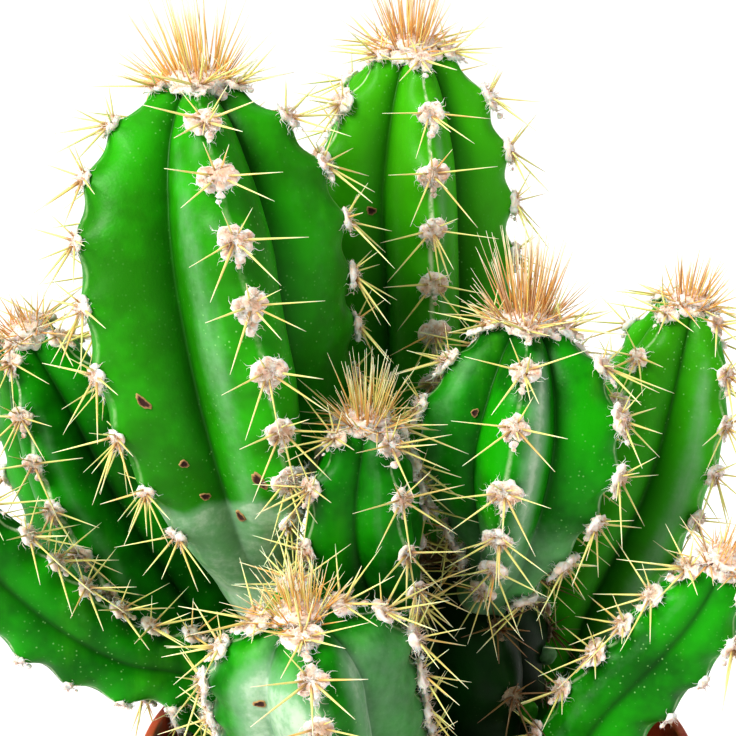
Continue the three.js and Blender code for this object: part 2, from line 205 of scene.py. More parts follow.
def tube_faces(rows: int, columns: int) -> Faces:
    """The faces of a tube of rows of corners whose two ends close on the two last corners.

    Args:
        rows: How many rows of corners the tube has.
        columns: How many corners each row has.

    Returns:
        The faces, which point out of the tube.
    """
    first = rows * columns
    faces = []
    for column in range(columns):
        beside = (column + 1) % columns
        faces.append([first, beside, column])
        for row in range(rows - 1):
            low, high = row * columns, (row + 1) * columns
            faces.append([low + column, low + beside, high + beside, high + column])
        last = (rows - 1) * columns
        faces.append([first + 1, last + column, last + beside])
    return faces


# ---- node trees --------------------------------------------------------------------------


class Wiring:
    """Adds nodes to a tree and joins them."""

    def __init__(self, tree: bpy.types.NodeTree) -> None:
        """Starts on a tree."""
        self.tree = tree

    def node(self, kind: str, inputs: dict[Any, Any] | None = None, **settings: Any) -> bpy.types.Node:
        """Adds a node.

        Args:
            kind: Its type.
            inputs: A value or another node's socket for each input, by name or by number.
            **settings: The node's own settings.

        Returns:
            The node.
        """
        node = self.tree.nodes.new(kind)
        for name, value in settings.items():
            setattr(node, name, value)
        for key, value in (inputs or {}).items():
            self.feed(node.inputs[key], value)
        return node

    def feed(self, socket: Socket, value: Any) -> None:
        """Joins a socket to another, or sets its value.

        Args:
            socket: The input.
            value: An output, or the value to set.
        """
        if isinstance(value, Socket):
            self.tree.links.new(value, socket)
        else:
            socket.default_value = value

    def maths(self, operation: str, *values: Any) -> Socket:
        """The result of a Math node."""
        return self.node("ShaderNodeMath", dict(enumerate(values)), operation=operation).outputs[0]

    def vectors(self, operation: str, *values: Any) -> Socket:
        """The vector that a Vector Math node gives."""
        inputs = dict(enumerate(values))
        return self.node("ShaderNodeVectorMath", inputs, operation=operation).outputs[0]

    def times(self, first: Any, second: Any) -> Socket:
        """One number times another."""
        return self.maths("MULTIPLY", first, second)

    def shaken(self, value: Any, noise: Any, reach: float) -> Socket:
        """A number moved up and down by noise."""
        return self.maths("MULTIPLY_ADD", self.maths("SUBTRACT", noise, 0.5), reach, value)

    def scaled(self, vector: Any, factor: Any) -> Socket:
        """A vector times a number."""
        inputs = {0: vector, "Scale": factor}
        return self.node("ShaderNodeVectorMath", inputs, operation="SCALE").outputs[0]

    def spread(self, value: Any, low: float, high: float, to_low: float = 0, to_high: float = 1) -> Any:
        """A value moved smoothly from one range to another and held at its ends."""
        inputs = {0: value, 1: low, 2: high, 3: to_low, 4: to_high}
        return self.node("ShaderNodeMapRange", inputs, interpolation_type="SMOOTHSTEP").outputs[0]


class Shading(Wiring):
    """A material's node tree, with the few nodes that every finish here shares."""

    def __init__(self, name: str) -> None:
        """Makes an empty material.

        Args:
            name: The material's name.
        """
        self.material = bpy.data.materials.new(name)
        self.material.use_nodes = True
        super().__init__(self.material.node_tree)
        self.tree.nodes.clear()
        self.place = self.node("ShaderNodeTexCoord").outputs["Object"]

    def kept(self, name: str) -> Socket:
        """The number that the mesh keeps under a name."""
        return self.node("ShaderNodeAttribute", attribute_name=name).outputs["Fac"]

    def noise(self, scale: float, detail: float = 3, roughness: float = 0.55, place: Any = None) -> Any:
        """Cloudy noise over the object's own coordinates, at a scale per metre."""
        inputs = {"Vector": place or self.place, "Scale": scale, "Detail": detail,
                  "Roughness": roughness}
        return self.node("ShaderNodeTexNoise", inputs).outputs["Fac"]

    def stretched(self, scale: float, stretch: Colour, detail: float = 3) -> Socket:
        """Noise whose grain is drawn out along the axes."""
        place = self.node("ShaderNodeMapping", {"Vector": self.place, "Scale": stretch}).outputs[0]
        return self.noise(scale, detail, 0.5, place)

    def cells(self, scale: float, output: str = "Distance") -> Socket:
        """Scattered points: the distance to the nearest one, or its own colour."""
        inputs = {"Vector": self.place, "Scale": scale}
        return self.node("ShaderNodeTexVoronoi", inputs).outputs[output]

    def mix(self, share: Any, start: Any, end: Any, blend: str = "MIX") -> Socket:
        """A blend of two colours."""
        inputs = {0: share, 6: self.opaque(start), 7: self.opaque(end)}
        return self.node("ShaderNodeMix", inputs, data_type="RGBA", blend_type=blend).outputs[2]

    def opaque(self, colour: Any) -> Any:
        """A colour with its alpha, where it is a plain one."""
        return (*colour, 1.0) if isinstance(colour, tuple) else colour

    def relief(self, height: Any, distance: float, strength: float = 1, over: Any = None) -> Any:
        """A bump of a height in metres, on top of another one if it is given.

        Args:
            height: How high each spot is, from 0 to 1.
            distance: The height of a 1, in metres.
            strength: How strongly it shows.
            over: The normal under it, if there is one.

        Returns:
            The bumped normal.
        """
        inputs = {"Height": height, "Distance": distance, "Strength": strength}
        if over is not None:
            inputs["Normal"] = over
        return self.node("ShaderNodeBump", inputs).outputs[0]

    def surface(self, colour: Any, roughness: Any, normal: Any, **fixed: Any) -> bpy.types.Material:
        """Ends the tree in a shader.

        Args:
            colour: Base colour.
            roughness: Roughness.
            normal: Bumped normal.
            **fixed: Other inputs, with their spaces as underscores, all plain values.

        Returns:
            The material.
        """
        inputs = {"Base Color": colour, "Roughness": roughness, "Normal": normal}
        inputs.update({name.replace("_", " "): value for name, value in fixed.items()})
        shader = self.node("ShaderNodeBsdfPrincipled", inputs)
        self.node("ShaderNodeOutputMaterial", {"Surface": shader.outputs[0]})
        return self.material


class Growth(Wiring):
    """A Geometry Nodes tree that grows small shapes on a piece's corners or faces."""

    def __init__(self, name: str, sizes: dict[str, float]) -> None:
        """Makes a tree with a named input for each size.

        Args:
            name: The tree's name.
            sizes: The name and the usual value of each input.
        """
        super().__init__(bpy.data.node_groups.new(name, "GeometryNodeTree"))
        face = self.tree.interface
        face.new_socket("Geometry", in_out="INPUT", socket_type="NodeSocketGeometry")
        face.new_socket("Geometry", in_out="OUTPUT", socket_type="NodeSocketGeometry")
        for size, value in sizes.items():
            face.new_socket(size, in_out="INPUT", socket_type="NodeSocketFloat").default_value = value
        self.given = self.node("NodeGroupInput").outputs

    def kept(self, name: str, kind: str = "FLOAT") -> Socket:
        """What the geometry keeps under a name."""
        return self.node("GeometryNodeInputNamedAttribute", {"Name": name}, data_type=kind).outputs[0]

    def keep(self, geometry: Any, name: str, value: Any, domain: str = "POINT") -> Any:
        """Geometry that keeps a number under a name."""
        inputs = {"Geometry": geometry, "Name": name, "Value": value}
        return self.node("GeometryNodeStoreNamedAttribute", inputs, domain=domain).outputs[0]

    def random(self, low: Any, high: Any, seed: int) -> Socket:
        """A random number for each element, the same on each run."""
        inputs = {2: low, 3: high, "Seed": seed}
        return self.node("FunctionNodeRandomValue", inputs, data_type="FLOAT").outputs[1]

    def random_vector(self, reach: float, seed: int) -> Socket:
        """A random vector for each element, the same on each run."""
        inputs = {0: (-reach,) * 3, 1: (reach,) * 3, "Seed": seed}
        return self.node("FunctionNodeRandomValue", inputs, data_type="FLOAT_VECTOR").outputs[0]

    def aimed(self, direction: Any, seed: int) -> Socket:
        """A rotation that points Z along a direction, with a random spin about it.

        Args:
            direction: Where Z points.
            seed: The seed of the spin.

        Returns:
            The rotation.
        """
        aim = self.node("FunctionNodeAlignRotationToVector", {"Vector": direction}, axis="Z").outputs[0]
        turn = {"Axis": (0, 0, 1), "Angle": self.random(0, 2 * math.pi, seed)}
        spin = self.node("FunctionNodeAxisAngleToRotation", turn).outputs[0]
        inputs = {"Rotation": aim, "Rotate By": spin}
        return self.node("FunctionNodeRotateRotation", inputs, rotation_space="LOCAL").outputs[0]

    def sized(self, x: Any, y: Any, z: Any) -> Socket:
        """A vector of three numbers."""
        return self.node("ShaderNodeCombineXYZ", {0: x, 1: y, 2: z}).outputs[0]

    def placed(self, points: Any, shape: Any, rotation: Any, scale: Any) -> Socket:
        """A shape on every point."""
        inputs = {"Points": points, "Instance": shape, "Rotation": rotation, "Scale": scale}
        return self.node("GeometryNodeInstanceOnPoints", inputs).outputs[0]

    def real(self, *shapes: Any, smooth: bool = True) -> Socket:
        """Placed shapes joined into one mesh.

        Args:
            *shapes: The geometry to join.
            smooth: Whether the faces are shaded smooth.

        Returns:
            The mesh.
        """
        joined = self.node("GeometryNodeJoinGeometry")
        for shape in shapes:
            self.tree.links.new(shape, joined.inputs[0])
        real = self.node("GeometryNodeRealizeInstances", {"Geometry": joined.outputs[0]}).outputs[0]
        inputs = {"Geometry": real, "Shade Smooth": smooth}
        return self.node("GeometryNodeSetShadeSmooth", inputs).outputs[0]

    def end(self, geometry: Any, finish: "Finish") -> None:
        """Ends the tree with its material.

        Args:
            geometry: What the tree made.
            finish: What it is made of.
        """
        inputs = {"Geometry": geometry, "Material": finish.material()}
        made = self.node("GeometryNodeSetMaterial", inputs).outputs[0]
        self.node("NodeGroupOutput", {"Geometry": made})

    def grow(self, name: str, ground: Piece, sizes: dict[str, float]) -> Piece:
        """Runs the tree on a piece and keeps what it makes as a plain mesh.

        Args:
            name: The new piece's name.
            ground: What it grows on, which is removed if it is only points.
            sizes: Values for the tree's named inputs.

        Returns:
            The new piece.
        """
        modifier = ground.modifiers.new(name, "NODES")
        modifier.node_group = self.tree
        for item in self.tree.interface.items_tree:
            if item.in_out == "INPUT" and item.name in sizes:
                modifier[item.identifier] = float(sizes[item.name])
        mesh = plain_mesh(ground)
        ground.modifiers.remove(modifier)
        if not ground.data.polygons:
            bpy.data.objects.remove(ground)
        return link(name, mesh)


# ---- finishes ----------------------------------------------------------------------------


class Finish:
    """A finish whose material is made once, on first use."""

    name = "finish"

    def material(self) -> bpy.types.Material:
        """The finish's material."""
        made = bpy.data.materials.get(self.name)
        return made if made else self.paint()

    def paint(self) -> bpy.types.Material:
        """Makes the material."""
        raise NotImplementedError


@dataclass(frozen=True)
class StemSkin(Finish):
    """Waxy green skin with painted shade in the grooves, a painted highlight along the crests, pale
    where old waxy bloom lies, and a band of bloom and painted sheen.

    The scales of its grain are per metre, and the covers are shares from 0 to 1.
    """

    name: str = "waxy_skin"
    deep: Colour = linear(8, 92, 2)
    bright: Colour = linear(26, 154, 2)
    # Lighter green: the skin's own pale streaks, and painted light on brightened stems.
    sunlit: Colour = linear(84, 190, 14)
    # Dark green of painted shade, for the grooves and for stems darkened to stand for shadow.
    old: Colour = linear(4, 22, 2)
    # Pale blue-green of waxy bloom, also painted as sheen on one flank of each rib.
    bloom_and_sheen: Colour = linear(142, 182, 146)
    thick: Colour = linear(208, 222, 200)
    # Pale colour of the painted highlight along the crests' edges.
    crest: Colour = linear(196, 218, 172)
    cork: Colour = linear(150, 128, 84)
    speck: Colour = linear(150, 206, 130)
    mottle_scale: float = 52
    streak_scale: float = 150
    fleck_scale: float = 620
    speck_scale: float = 800
    cluster_scale: float = 45
    pore_scale: float = 1500
    bump_scale: float = 230
    bloom_and_sheen_cover: float = 0.85
    thick_cover: float = 0.75
    # How strongly painted shade darkens the grooves.
    painted_groove_shade: float = 0.4
    # How far painted shade darkens stems that stand in shadow.
    painted_shade_cover: float = 0.98
    roughness: float = 0.38
    wax_roughness: float = 0.2

    def paint(self) -> bpy.types.Material:
        """Makes the material from the mesh's crest, chalk, wax, age, dim and fresh numbers, where chalk
        is a painted highlight on the crests, wax waxy bloom and painted sheen, dim painted shade and
        fresh painted light.

        Returns:
            The material.
        """
        draw = Shading(self.name)
        crest = draw.kept("crest")
        fine = draw.noise(self.fleck_scale, 3, 0.6)
        streaks = draw.stretched(self.streak_scale, (1, 1, 0.22), 4)
        green = self.greens(draw, crest, streaks)
        # Waxy bloom, and painted sheen in the band on one flank of each rib.
        bloom_and_sheen_share = self.bloom_and_sheen_share(draw, fine, streaks)
        colour = draw.mix(bloom_and_sheen_share, green, self.bloom_and_sheen)
        colour = draw.mix(draw.spread(bloom_and_sheen_share, 0.62, 0.92, 0, self.thick_cover), colour, self.thick)
        # Painted highlight: a broken pale line along the crests' edges.
        edge = draw.times(draw.spread(crest, 0.94, 0.995), draw.spread(fine, 0.34, 0.6, 0.2, 0.9))
        colour = draw.mix(draw.times(edge, draw.kept("crest_highlight")), colour, self.crest)
        clusters = draw.spread(draw.noise(self.cluster_scale, 2), 0.5, 0.66, 0.08, 0.6)
        dots = draw.times(draw.spread(draw.cells(self.speck_scale), 0.2, 0.08), clusters)
        colour = draw.mix(dots, colour, self.speck)
        aged = draw.spread(draw.maths("MULTIPLY_ADD", fine, 0.5, draw.kept("age")), 0.8, 1.2)
        colour = draw.mix(aged, colour, self.cork)
        # Painted shade: stems that stand in shadow are darkened towards dark green.
        colour = draw.mix(draw.times(draw.kept("painted_shade"), self.painted_shade_cover), colour, self.old)
        bare = draw.maths("MULTIPLY_ADD", fine, 0.12, self.roughness)
        roughness = draw.maths("MULTIPLY_ADD", bloom_and_sheen_share, self.wax_roughness, bare)
        pores = draw.relief(draw.cells(self.pore_scale), 0.0001, 0.25)
        normal = draw.relief(draw.noise(self.bump_scale, 3, 0.5), 0.0004, 0.22, pores)
        return draw.surface(colour, roughness, normal, Subsurface_Weight=0.1, Subsurface_Scale=0.002,
                            Subsurface_Radius=(0.35, 1.0, 0.1), Specular_IOR_Level=0.14,
                            Coat_Weight=0.04, Coat_Roughness=0.3)

    def greens(self, draw: Shading, crest: Any, streaks: Any) -> Socket:
        """The living greens, mottled and streaked, brightened by painted light on some stems and
        darkened by painted shade down in the grooves.

        Args:
            draw: The material's tree.
            crest: The height of the rib.
            streaks: Noise drawn out up the stem.

        Returns:
            The colour.
        """
        mottle = draw.spread(draw.noise(self.mottle_scale, 4, 0.6), 0.34, 0.66)
        green = draw.mix(mottle, self.deep, self.bright)
        lifted = draw.times(draw.spread(streaks, 0.5, 0.8), 0.3)
        # Painted light brightens chosen stems; the streaks are the skin's own paler tone.
        green = draw.mix(draw.maths("MAXIMUM", lifted, draw.kept("painted_light")), green, self.sunlit)
        # Painted shade: darker greens down in the grooves between the ribs.
        green = draw.mix(draw.times(draw.spread(crest, 0.42, 0.0), 0.5), green, self.deep)
        return draw.mix(draw.spread(crest, 0.14, 0.0, 0, self.painted_groove_shade), green, self.old)

    def bloom_and_sheen_share(self, draw: Shading, fine: Any, streaks: Any) -> Socket:
        """How much waxy bloom and painted sheen lie on a spot, worn in streaks and rubbed off in
        flecks.

        Args:
            draw: The material's tree.
            fine: Fine noise.
            streaks: Noise drawn out up the stem.

        Returns:
            A share from 0 to 1.
        """
        worn = draw.shaken(draw.kept("bloom_and_sheen"), streaks, 0.5)
        return draw.times(draw.spread(draw.shaken(worn, fine, 0.25), 0.12, 1.0), self.bloom_and_sheen_cover)


@dataclass(frozen=True)
class SpineHorn(Finish):
    """Horny spines, brown at the root, straw yellow above and pale at the point, darkened by painted
    shade where they stand in shadow.
    """

    name: str = "pale_horn"
    root: Colour = linear(176, 130, 66)
    amber: Colour = linear(232, 166, 62)
    straw: Colour = linear(226, 222, 122)
    brown: Colour = linear(186, 138, 92)
    point: Colour = linear(248, 242, 214)
    # Dark brown of painted shade, for spines that stand in shadow.
    painted_shade_colour: Colour = linear(96, 58, 22)
    grain_scale: float = 900
    bump_scale: float = 2600
    roughness: float = 0.34

    def paint(self) -> bpy.types.Material:
        """Makes the material from each spine's tone, its painted shade and the share along it.

        Returns:
            The material.
        """
        draw = Shading(self.name)
        along = draw.kept("along")
        tone = draw.kept("tone")
        grain = draw.noise(self.grain_scale, 2)
        shaft = draw.mix(draw.spread(tone, 0.25, 0.6), self.straw, self.amber)
        shaft = draw.mix(draw.spread(tone, 0.7, 1.0), shaft, self.brown)
        colour = draw.mix(draw.spread(along, 0.3, 0.02), shaft, self.root)
        colour = draw.mix(draw.times(draw.spread(along, 0.5, 1.0), 0.8), colour, self.point)
        colour = draw.mix(draw.times(grain, 0.25), colour, self.point)
        # Painted shade for spines that stand in shadow.
        colour = draw.mix(draw.kept("painted_shade"), colour, self.painted_shade_colour)
        normal = draw.relief(draw.noise(self.bump_scale, 2), 0.00005, 0.3)
        roughness = draw.maths("MULTIPLY_ADD", grain, 0.15, self.roughness)
        return draw.surface(colour, roughness, normal, Subsurface_Weight=0.25, Subsurface_Scale=0.0006,
                            Coat_Weight=0.1)


@dataclass(frozen=True)
class AreoleWool(Finish):
    """Felted wool, cream white outside and peach in the middle of a cushion, darkened by painted shade
    where it stands in shadow.
    """

    name: str = "felted_wool"
    white: Colour = linear(248, 240, 236)
    cream: Colour = linear(240, 220, 202)
    peach: Colour = linear(222, 178, 150)
    fleck: Colour = linear(176, 118, 88)
    # Dark olive of painted shade, for wool that stands in shadow.
    painted_shade_colour: Colour = linear(112, 96, 62)
    blotch_scale: float = 420
    cream_scale: float = 700
    fleck_scale: float = 1500
    felt_scale: float = 2400
    roughness: float = 0.95

    def paint(self) -> bpy.types.Material:
        """Makes the material from the wool's core number and its painted shade.

        Returns:
            The material.
        """
        draw = Shading(self.name)
        blotch = draw.noise(self.blotch_scale, 3, 0.7)
        core = draw.times(draw.kept("core"), draw.spread(blotch, 0.34, 0.62))
        creamy = draw.spread(draw.noise(self.cream_scale, 2), 0.4, 0.66)
        colour = draw.mix(creamy, self.white, self.cream)
        colour = draw.mix(core, colour, self.peach)
        flecks = draw.spread(draw.noise(self.fleck_scale, 2, 0.7), 0.54, 0.68, 0, 0.6)
        colour = draw.mix(draw.times(flecks, draw.kept("core")), colour, self.fleck)
        # Painted shade for wool that stands in shadow.
        colour = draw.mix(draw.kept("painted_shade"), colour, self.painted_shade_colour)
        normal = draw.relief(draw.noise(self.felt_scale, 3, 0.7), 0.00012, 0.6)
        return draw.surface(colour, self.roughness, normal, Subsurface_Weight=0.3,
                            Subsurface_Scale=0.001, Sheen_Weight=0.3, Sheen_Roughness=0.5)


@dataclass(frozen=True)
class PotPlastic(Finish):
    """Moulded terracotta-coloured plastic, a little faded on its edges and dusty below the rim."""

    name: str = "terracotta_plastic"
    body: Colour = linear(194, 62, 26)
    faded: Colour = linear(210, 102, 64)
    stain: Colour = linear(118, 36, 18)
    dust: Colour = linear(206, 176, 150)
    cloud_scale: float = 32
    speck_scale: float = 900
    streak_scale: float = 60
    dust_scale: float = 210
    dust_cover: float = 0.35
    roughness: float = 0.3
    ring_scale: float = 100

    def paint(self) -> bpy.types.Material:
        """Makes the material from the mesh's edge number and noise.

        Returns:
            The material.
        """
        draw = Shading(self.name)
        clouds = draw.noise(self.cloud_scale, 5, 0.6)
        specks = draw.noise(self.speck_scale, 3, 0.7)
        colour = draw.mix(draw.spread(clouds, 0.35, 0.7), self.body, self.faded)
        streaks = draw.stretched(self.streak_scale, (1, 1, 0.12), 5)
        colour = draw.mix(draw.times(draw.spread(streaks, 0.52, 0.74), 0.3), colour, self.stain)
        worn = draw.times(draw.kept("edge"), draw.spread(specks, 0.4, 0.6, 0.15, 0.8))
        colour = draw.mix(worn, colour, self.faded)
        dusty = draw.spread(draw.noise(self.dust_scale, 6, 0.75), 0.56, 0.76)
        colour = draw.mix(draw.times(dusty, self.dust_cover), colour, self.dust)
        rings = {"Vector": self.heights(draw), "Scale": 1.0, "Distortion": 0.4, "Detail": 2}
        wave = draw.node("ShaderNodeTexWave", rings, bands_direction="Z").outputs["Fac"]
        normal = draw.relief(wave, 0.00004, 0.25)
        normal = draw.relief(specks, 0.00008, 0.4, normal)
        roughness = draw.maths("MULTIPLY_ADD", clouds, 0.25, self.roughness)
        return draw.surface(colour, roughness, normal, Coat_Weight=0.15, Coat_Roughness=0.25)

    def heights(self, draw: Shading) -> Socket:
        """The height alone, scaled for the mould's fine turning rings."""
        inputs = {"Vector": draw.place, "Scale": (0, 0, self.ring_scale)}
        return draw.node("ShaderNodeMapping", inputs).outputs[0]


@dataclass(frozen=True)
class PottingMix(Finish):
    """Damp peat and bark, nearly black with brown fibres."""

    name: str = "damp_peat"
    dark: Colour = linear(26, 18, 12)
    brown: Colour = linear(84, 58, 38)
    fibre: Colour = linear(150, 116, 80)
    clump_scale: float = 300
    fibre_scale: float = 900
    crumb_scale: float = 800
    roughness: float = 0.93

    def paint(self) -> bpy.types.Material:
        """Makes the material from noise and each crumb's tone.

        Returns:
            The material.
        """
        draw = Shading(self.name)
        clumps = draw.noise(self.clump_scale, 6, 0.7)
        colour = draw.mix(draw.spread(clumps, 0.4, 0.66), self.dark, self.brown)
        colour = draw.mix(draw.times(draw.kept("tone"), 0.5), colour, self.brown)
        fibres = draw.spread(draw.stretched(self.fibre_scale, (1, 0.16, 0.5), 4), 0.62, 0.74)
        colour = draw.mix(draw.times(fibres, 0.6), colour, self.fibre)
        normal = draw.relief(draw.noise(self.crumb_scale, 6, 0.75), 0.0012, 0.8)
        return draw.surface(colour, self.roughness, normal)


@dataclass(frozen=True)
class GritStone(Finish):
    """Pale grit and pumice with pores and rusty stains."""

    name: str = "pumice_grit"
    pale: Colour = linear(226, 212, 200)
    warm: Colour = linear(176, 142, 118)
    grey: Colour = linear(120, 110, 104)
    grain_scale: float = 500
    pore_scale: float = 1600
    roughness: float = 0.88

    def paint(self) -> bpy.types.Material:
        """Makes the material from noise and each stone's tone.

        Returns:
            The material.
        """
        draw = Shading(self.name)
        grain = draw.noise(self.grain_scale, 5, 0.7)
        tone = draw.kept("tone")
        colour = draw.mix(draw.spread(tone, 0.2, 0.8), self.pale, self.warm)
        colour = draw.mix(draw.times(draw.spread(grain, 0.45, 0.7), 0.6), colour, self.grey)
        pores = draw.relief(draw.cells(self.pore_scale), 0.0003, 0.6)
        normal = draw.relief(grain, 0.0006, 0.6, pores)
        return draw.surface(colour, self.roughness, normal)


@dataclass(frozen=True)
class Cork(Finish):
    """Healed wounds: a dark sunken middle in a tan corky rim."""

    name: str = "healed_cork"
    middle: Colour = linear(62, 30, 22)
    rim: Colour = linear(178, 140, 92)
    edge_scale: float = 1400
    crack_scale: float = 2600
    roughness: float = 0.85

    def paint(self) -> bpy.types.Material:
        """Makes the material from the share out from a scar's middle.

        Returns:
            The material.
        """
        draw = Shading(self.name)
        out = draw.shaken(draw.kept("out_share"), draw.noise(self.edge_scale, 3), 0.5)
        colour = draw.mix(draw.spread(out, 0.45, 0.85), self.middle, self.rim)
        normal = draw.relief(draw.noise(self.crack_scale, 4, 0.7), 0.0002, 0.8)
        return draw.surface(colour, self.roughness, normal)


@dataclass(frozen=True)
class StudioPaper(Finish):
    """The plain pale floor."""

    name: str = "studio_paper"
    white: Colour = (0.86, 0.86, 0.86)
    warm: Colour = (0.88, 0.88, 0.875)
    roughness: float = 0.9

    def paint(self) -> bpy.types.Material:
        """Makes the material."""
        draw = Shading(self.name)
        colour = draw.mix(draw.spread(draw.noise(2), 0.3, 0.7), self.white, self.warm)
        return draw.surface(colour, self.roughness, draw.relief(draw.noise(800), 0.0001, 0.1))


# ---- pot and soil ------------------------------------------------------------------------


@dataclass
class Pot:
    """A tapered round pot with a rim band that steps out. Sizes in millimetres."""

    height: float = 106
    rim_radius: float = 60
    lip_thickness: float = 2.4
    lip_radius: float = 0.8
    band_height: float = 15
    band_step: float = 2.6
    foot_radius: float = 43
    foot_bevel: float = 1.2
    wall: float = 1.8
    floor: float = 2.6
    floor_round: float = 1.5
    holes: int = 6
    hole_radius: float = 4
    hole_ring: float = 27
    sides: int = 144
    hole_sides: int = 32
    wear: float = 2.2

    @property
    def band_foot(self) -> float:
        """The height of the rim band's lower edge."""
        return self.height - self.band_height

    def wall_radius(self, height: Any) -> Any:
        """The outer radius of the wall below the band."""
        return lerp(self.foot_radius, self.rim_radius - self.band_step, height / self.band_foot)

    def bore_radius(self, height: float) -> float:
        """The inner radius at a height, which widens behind the band.

        Args:
            height: The height.

        Returns:
            The radius.
        """
        if height <= self.band_foot:
            return self.wall_radius(height) - self.wall
        climb = (height - self.band_foot) / self.band_height
        behind = self.wall_radius(self.band_foot) - self.wall
        return lerp(behind, self.rim_radius - self.lip_thickness, climb)

    def rounded(self, middle: Pair, start: float, end: float, radius: float) -> list:
        """Points of a quarter round from one angle in degrees to another."""
        angles = np.radians(np.linspace(start, end, 6))
        return [[middle[0] + radius * math.cos(a), middle[1] + radius * math.sin(a)] for a in angles]

    def profile(self) -> Array:
        """The section of the wall, from the middle of the underside round to the inner floor.

        Returns:
            Rows of (radius, height).
        """
        radius, top = self.lip_radius, self.height
        foot = (self.foot_radius - self.foot_bevel, self.foot_bevel)
        outer = (self.rim_radius - radius, top - radius)
        inner = (self.bore_radius(top) + radius, top - radius)
        band = (self.rim_radius - radius, self.band_foot + radius / 2)
        points = [[0, 0], [self.hole_ring - self.hole_radius * 2, 0], [foot[0] - 3, 0]]
        points += self.rounded(foot, -90, -12, self.foot_bevel)
        points += [[self.wall_radius(h), h] for h in np.linspace(6, self.band_foot - 0.6, 9)]
        points += [[self.wall_radius(self.band_foot), self.band_foot]]
        points += self.rounded(band, -90, 0, radius / 2)
        points += [[self.rim_radius - 0.15, top - radius * 4]]
        points += self.rounded(outer, 0, 90, radius)
        points += self.rounded(inner, 90, 180, radius)
        points += [[self.bore_radius(h), h] for h in np.linspace(self.band_foot, self.floor + 2, 8)]
        points += [[self.bore_radius(self.floor) - self.floor_round, self.floor], [0, self.floor]]
        return np.array(points, float)

    def build(self) -> Piece:
        """Makes the pot and cuts its drain holes.

        Returns:
            The pot.
        """
        points, faces = turned(self.profile(), self.sides)
        pot = make_object("pot_shell", points, faces)
        ring, low, high = self.hole_radius, -self.floor, self.floor * 2
        profile = np.array([[0, low], [ring, low], [ring, high], [0, high]], float)
        corners, walls = turned(profile, self.hole_sides)
        drills = []
        for angle in (np.arange(self.holes) + 0.5) * 2 * math.pi / self.holes:
            place = [self.hole_ring * math.cos(angle), self.hole_ring * math.sin(angle), 0]
            drills.append(make_object("drill", corners + place, walls, smooth=False))
        for drill in drills:
            cut = pot.modifiers.new("drain", "BOOLEAN")
            cut.object = drill
            cut.operation = "DIFFERENCE"
            cut.solver = "EXACT"
        mesh = plain_mesh(pot)
        pot.modifiers.clear()
        for drill in drills:
            bpy.data.objects.remove(drill)
        pot.data = mesh
        self.mark_edges(pot)
        return pot

    def mark_edges(self, pot: Piece) -> None:
        """Keeps how near each corner is to the lip and to the band's edge, where wear shows.

        Args:
            pot: The pot.
        """
        places = np.array([corner.co for corner in pot.data.vertices]) / MM
        radius = np.hypot(places[:, 0], places[:, 1])
        lip = smoothstep(self.height - self.wear, self.height - 0.2, places[:, 2])
        band = smoothstep(1.5, 0, np.abs(places[:, 2] - self.band_foot))
        band *= radius > self.rim_radius - 1.5
        store(pot, "edge", np.maximum(lip, band))


@dataclass
class Soil:
    """Potting mix that fills the pot. Sizes in millimetres."""

    pot: Pot
    level: float = 96.5
    mound: float = 1.4
    ripple: float = 0.8
    lump: float = 0.35
    clearance: float = 0.3
    rings: int = 57
    sides: int = 160

    def height(self, x: Any, y: Any) -> Any:
        """The height of the surface over a point.

        Args:
            x: Places along X.
            y: Places along Y.

        Returns:
            The heights.
        """
        share = np.minimum(np.hypot(x, y) / self.pot.bore_radius(self.level), 1)
        ripple = np.sin(0.33 * x + 0.8) * np.cos(0.29 * y - 0.4) + 0.5 * np.sin(0.51 * (x + y))
        return self.level + self.mound * (1 - share ** 2) + self.ripple * ripple * (1 - share ** 4)

    def lumps(self, x: Any, y: Any) -> Any:
        """The small lumps on the surface over a point."""
        waves = np.sin(1.9 * x + 2 * np.sin(0.7 * y)) * np.cos(2.3 * y + 1.3 * np.sin(0.9 * x))
        return self.lump * waves

    def build(self) -> Piece:
        """Makes the closed body of mix with its uneven top.

        Returns:
            The soil.
        """
        bottom = self.pot.floor + self.clearance
        brim = self.pot.bore_radius(self.level) - self.clearance
        side = [[self.pot.bore_radius(h) - self.clearance, h] for h in (bottom, self.pot.band_foot)]
        top = [[brim * share, self.level] for share in np.linspace(1, 0, self.rings)]
        points, faces = turned(np.array([[0, bottom], *side, *top], float), self.sides)
        over = points[:, 2] > self.level - 1
        x, y = points[over, 0], points[over, 1]
        points[over, 2] = self.height(x, y) + self.lumps(x, y)
        soil = make_object("potting_mix", points, faces)
        store(soil, "tone", np.zeros(len(points)))
        return soil


# ---- stems -------------------------------------------------------------------------------


class Seat(Enum):
    """What a stem grows from."""

    SOIL = "soil"
    MOTHER = "mother stem"


class BloomAndSheenSide(Enum):
    """The flank of each rib that the pale band of waxy bloom and painted sheen lies on, seen from
    outside.
    """

    LEFT = -1
    RIGHT = 1


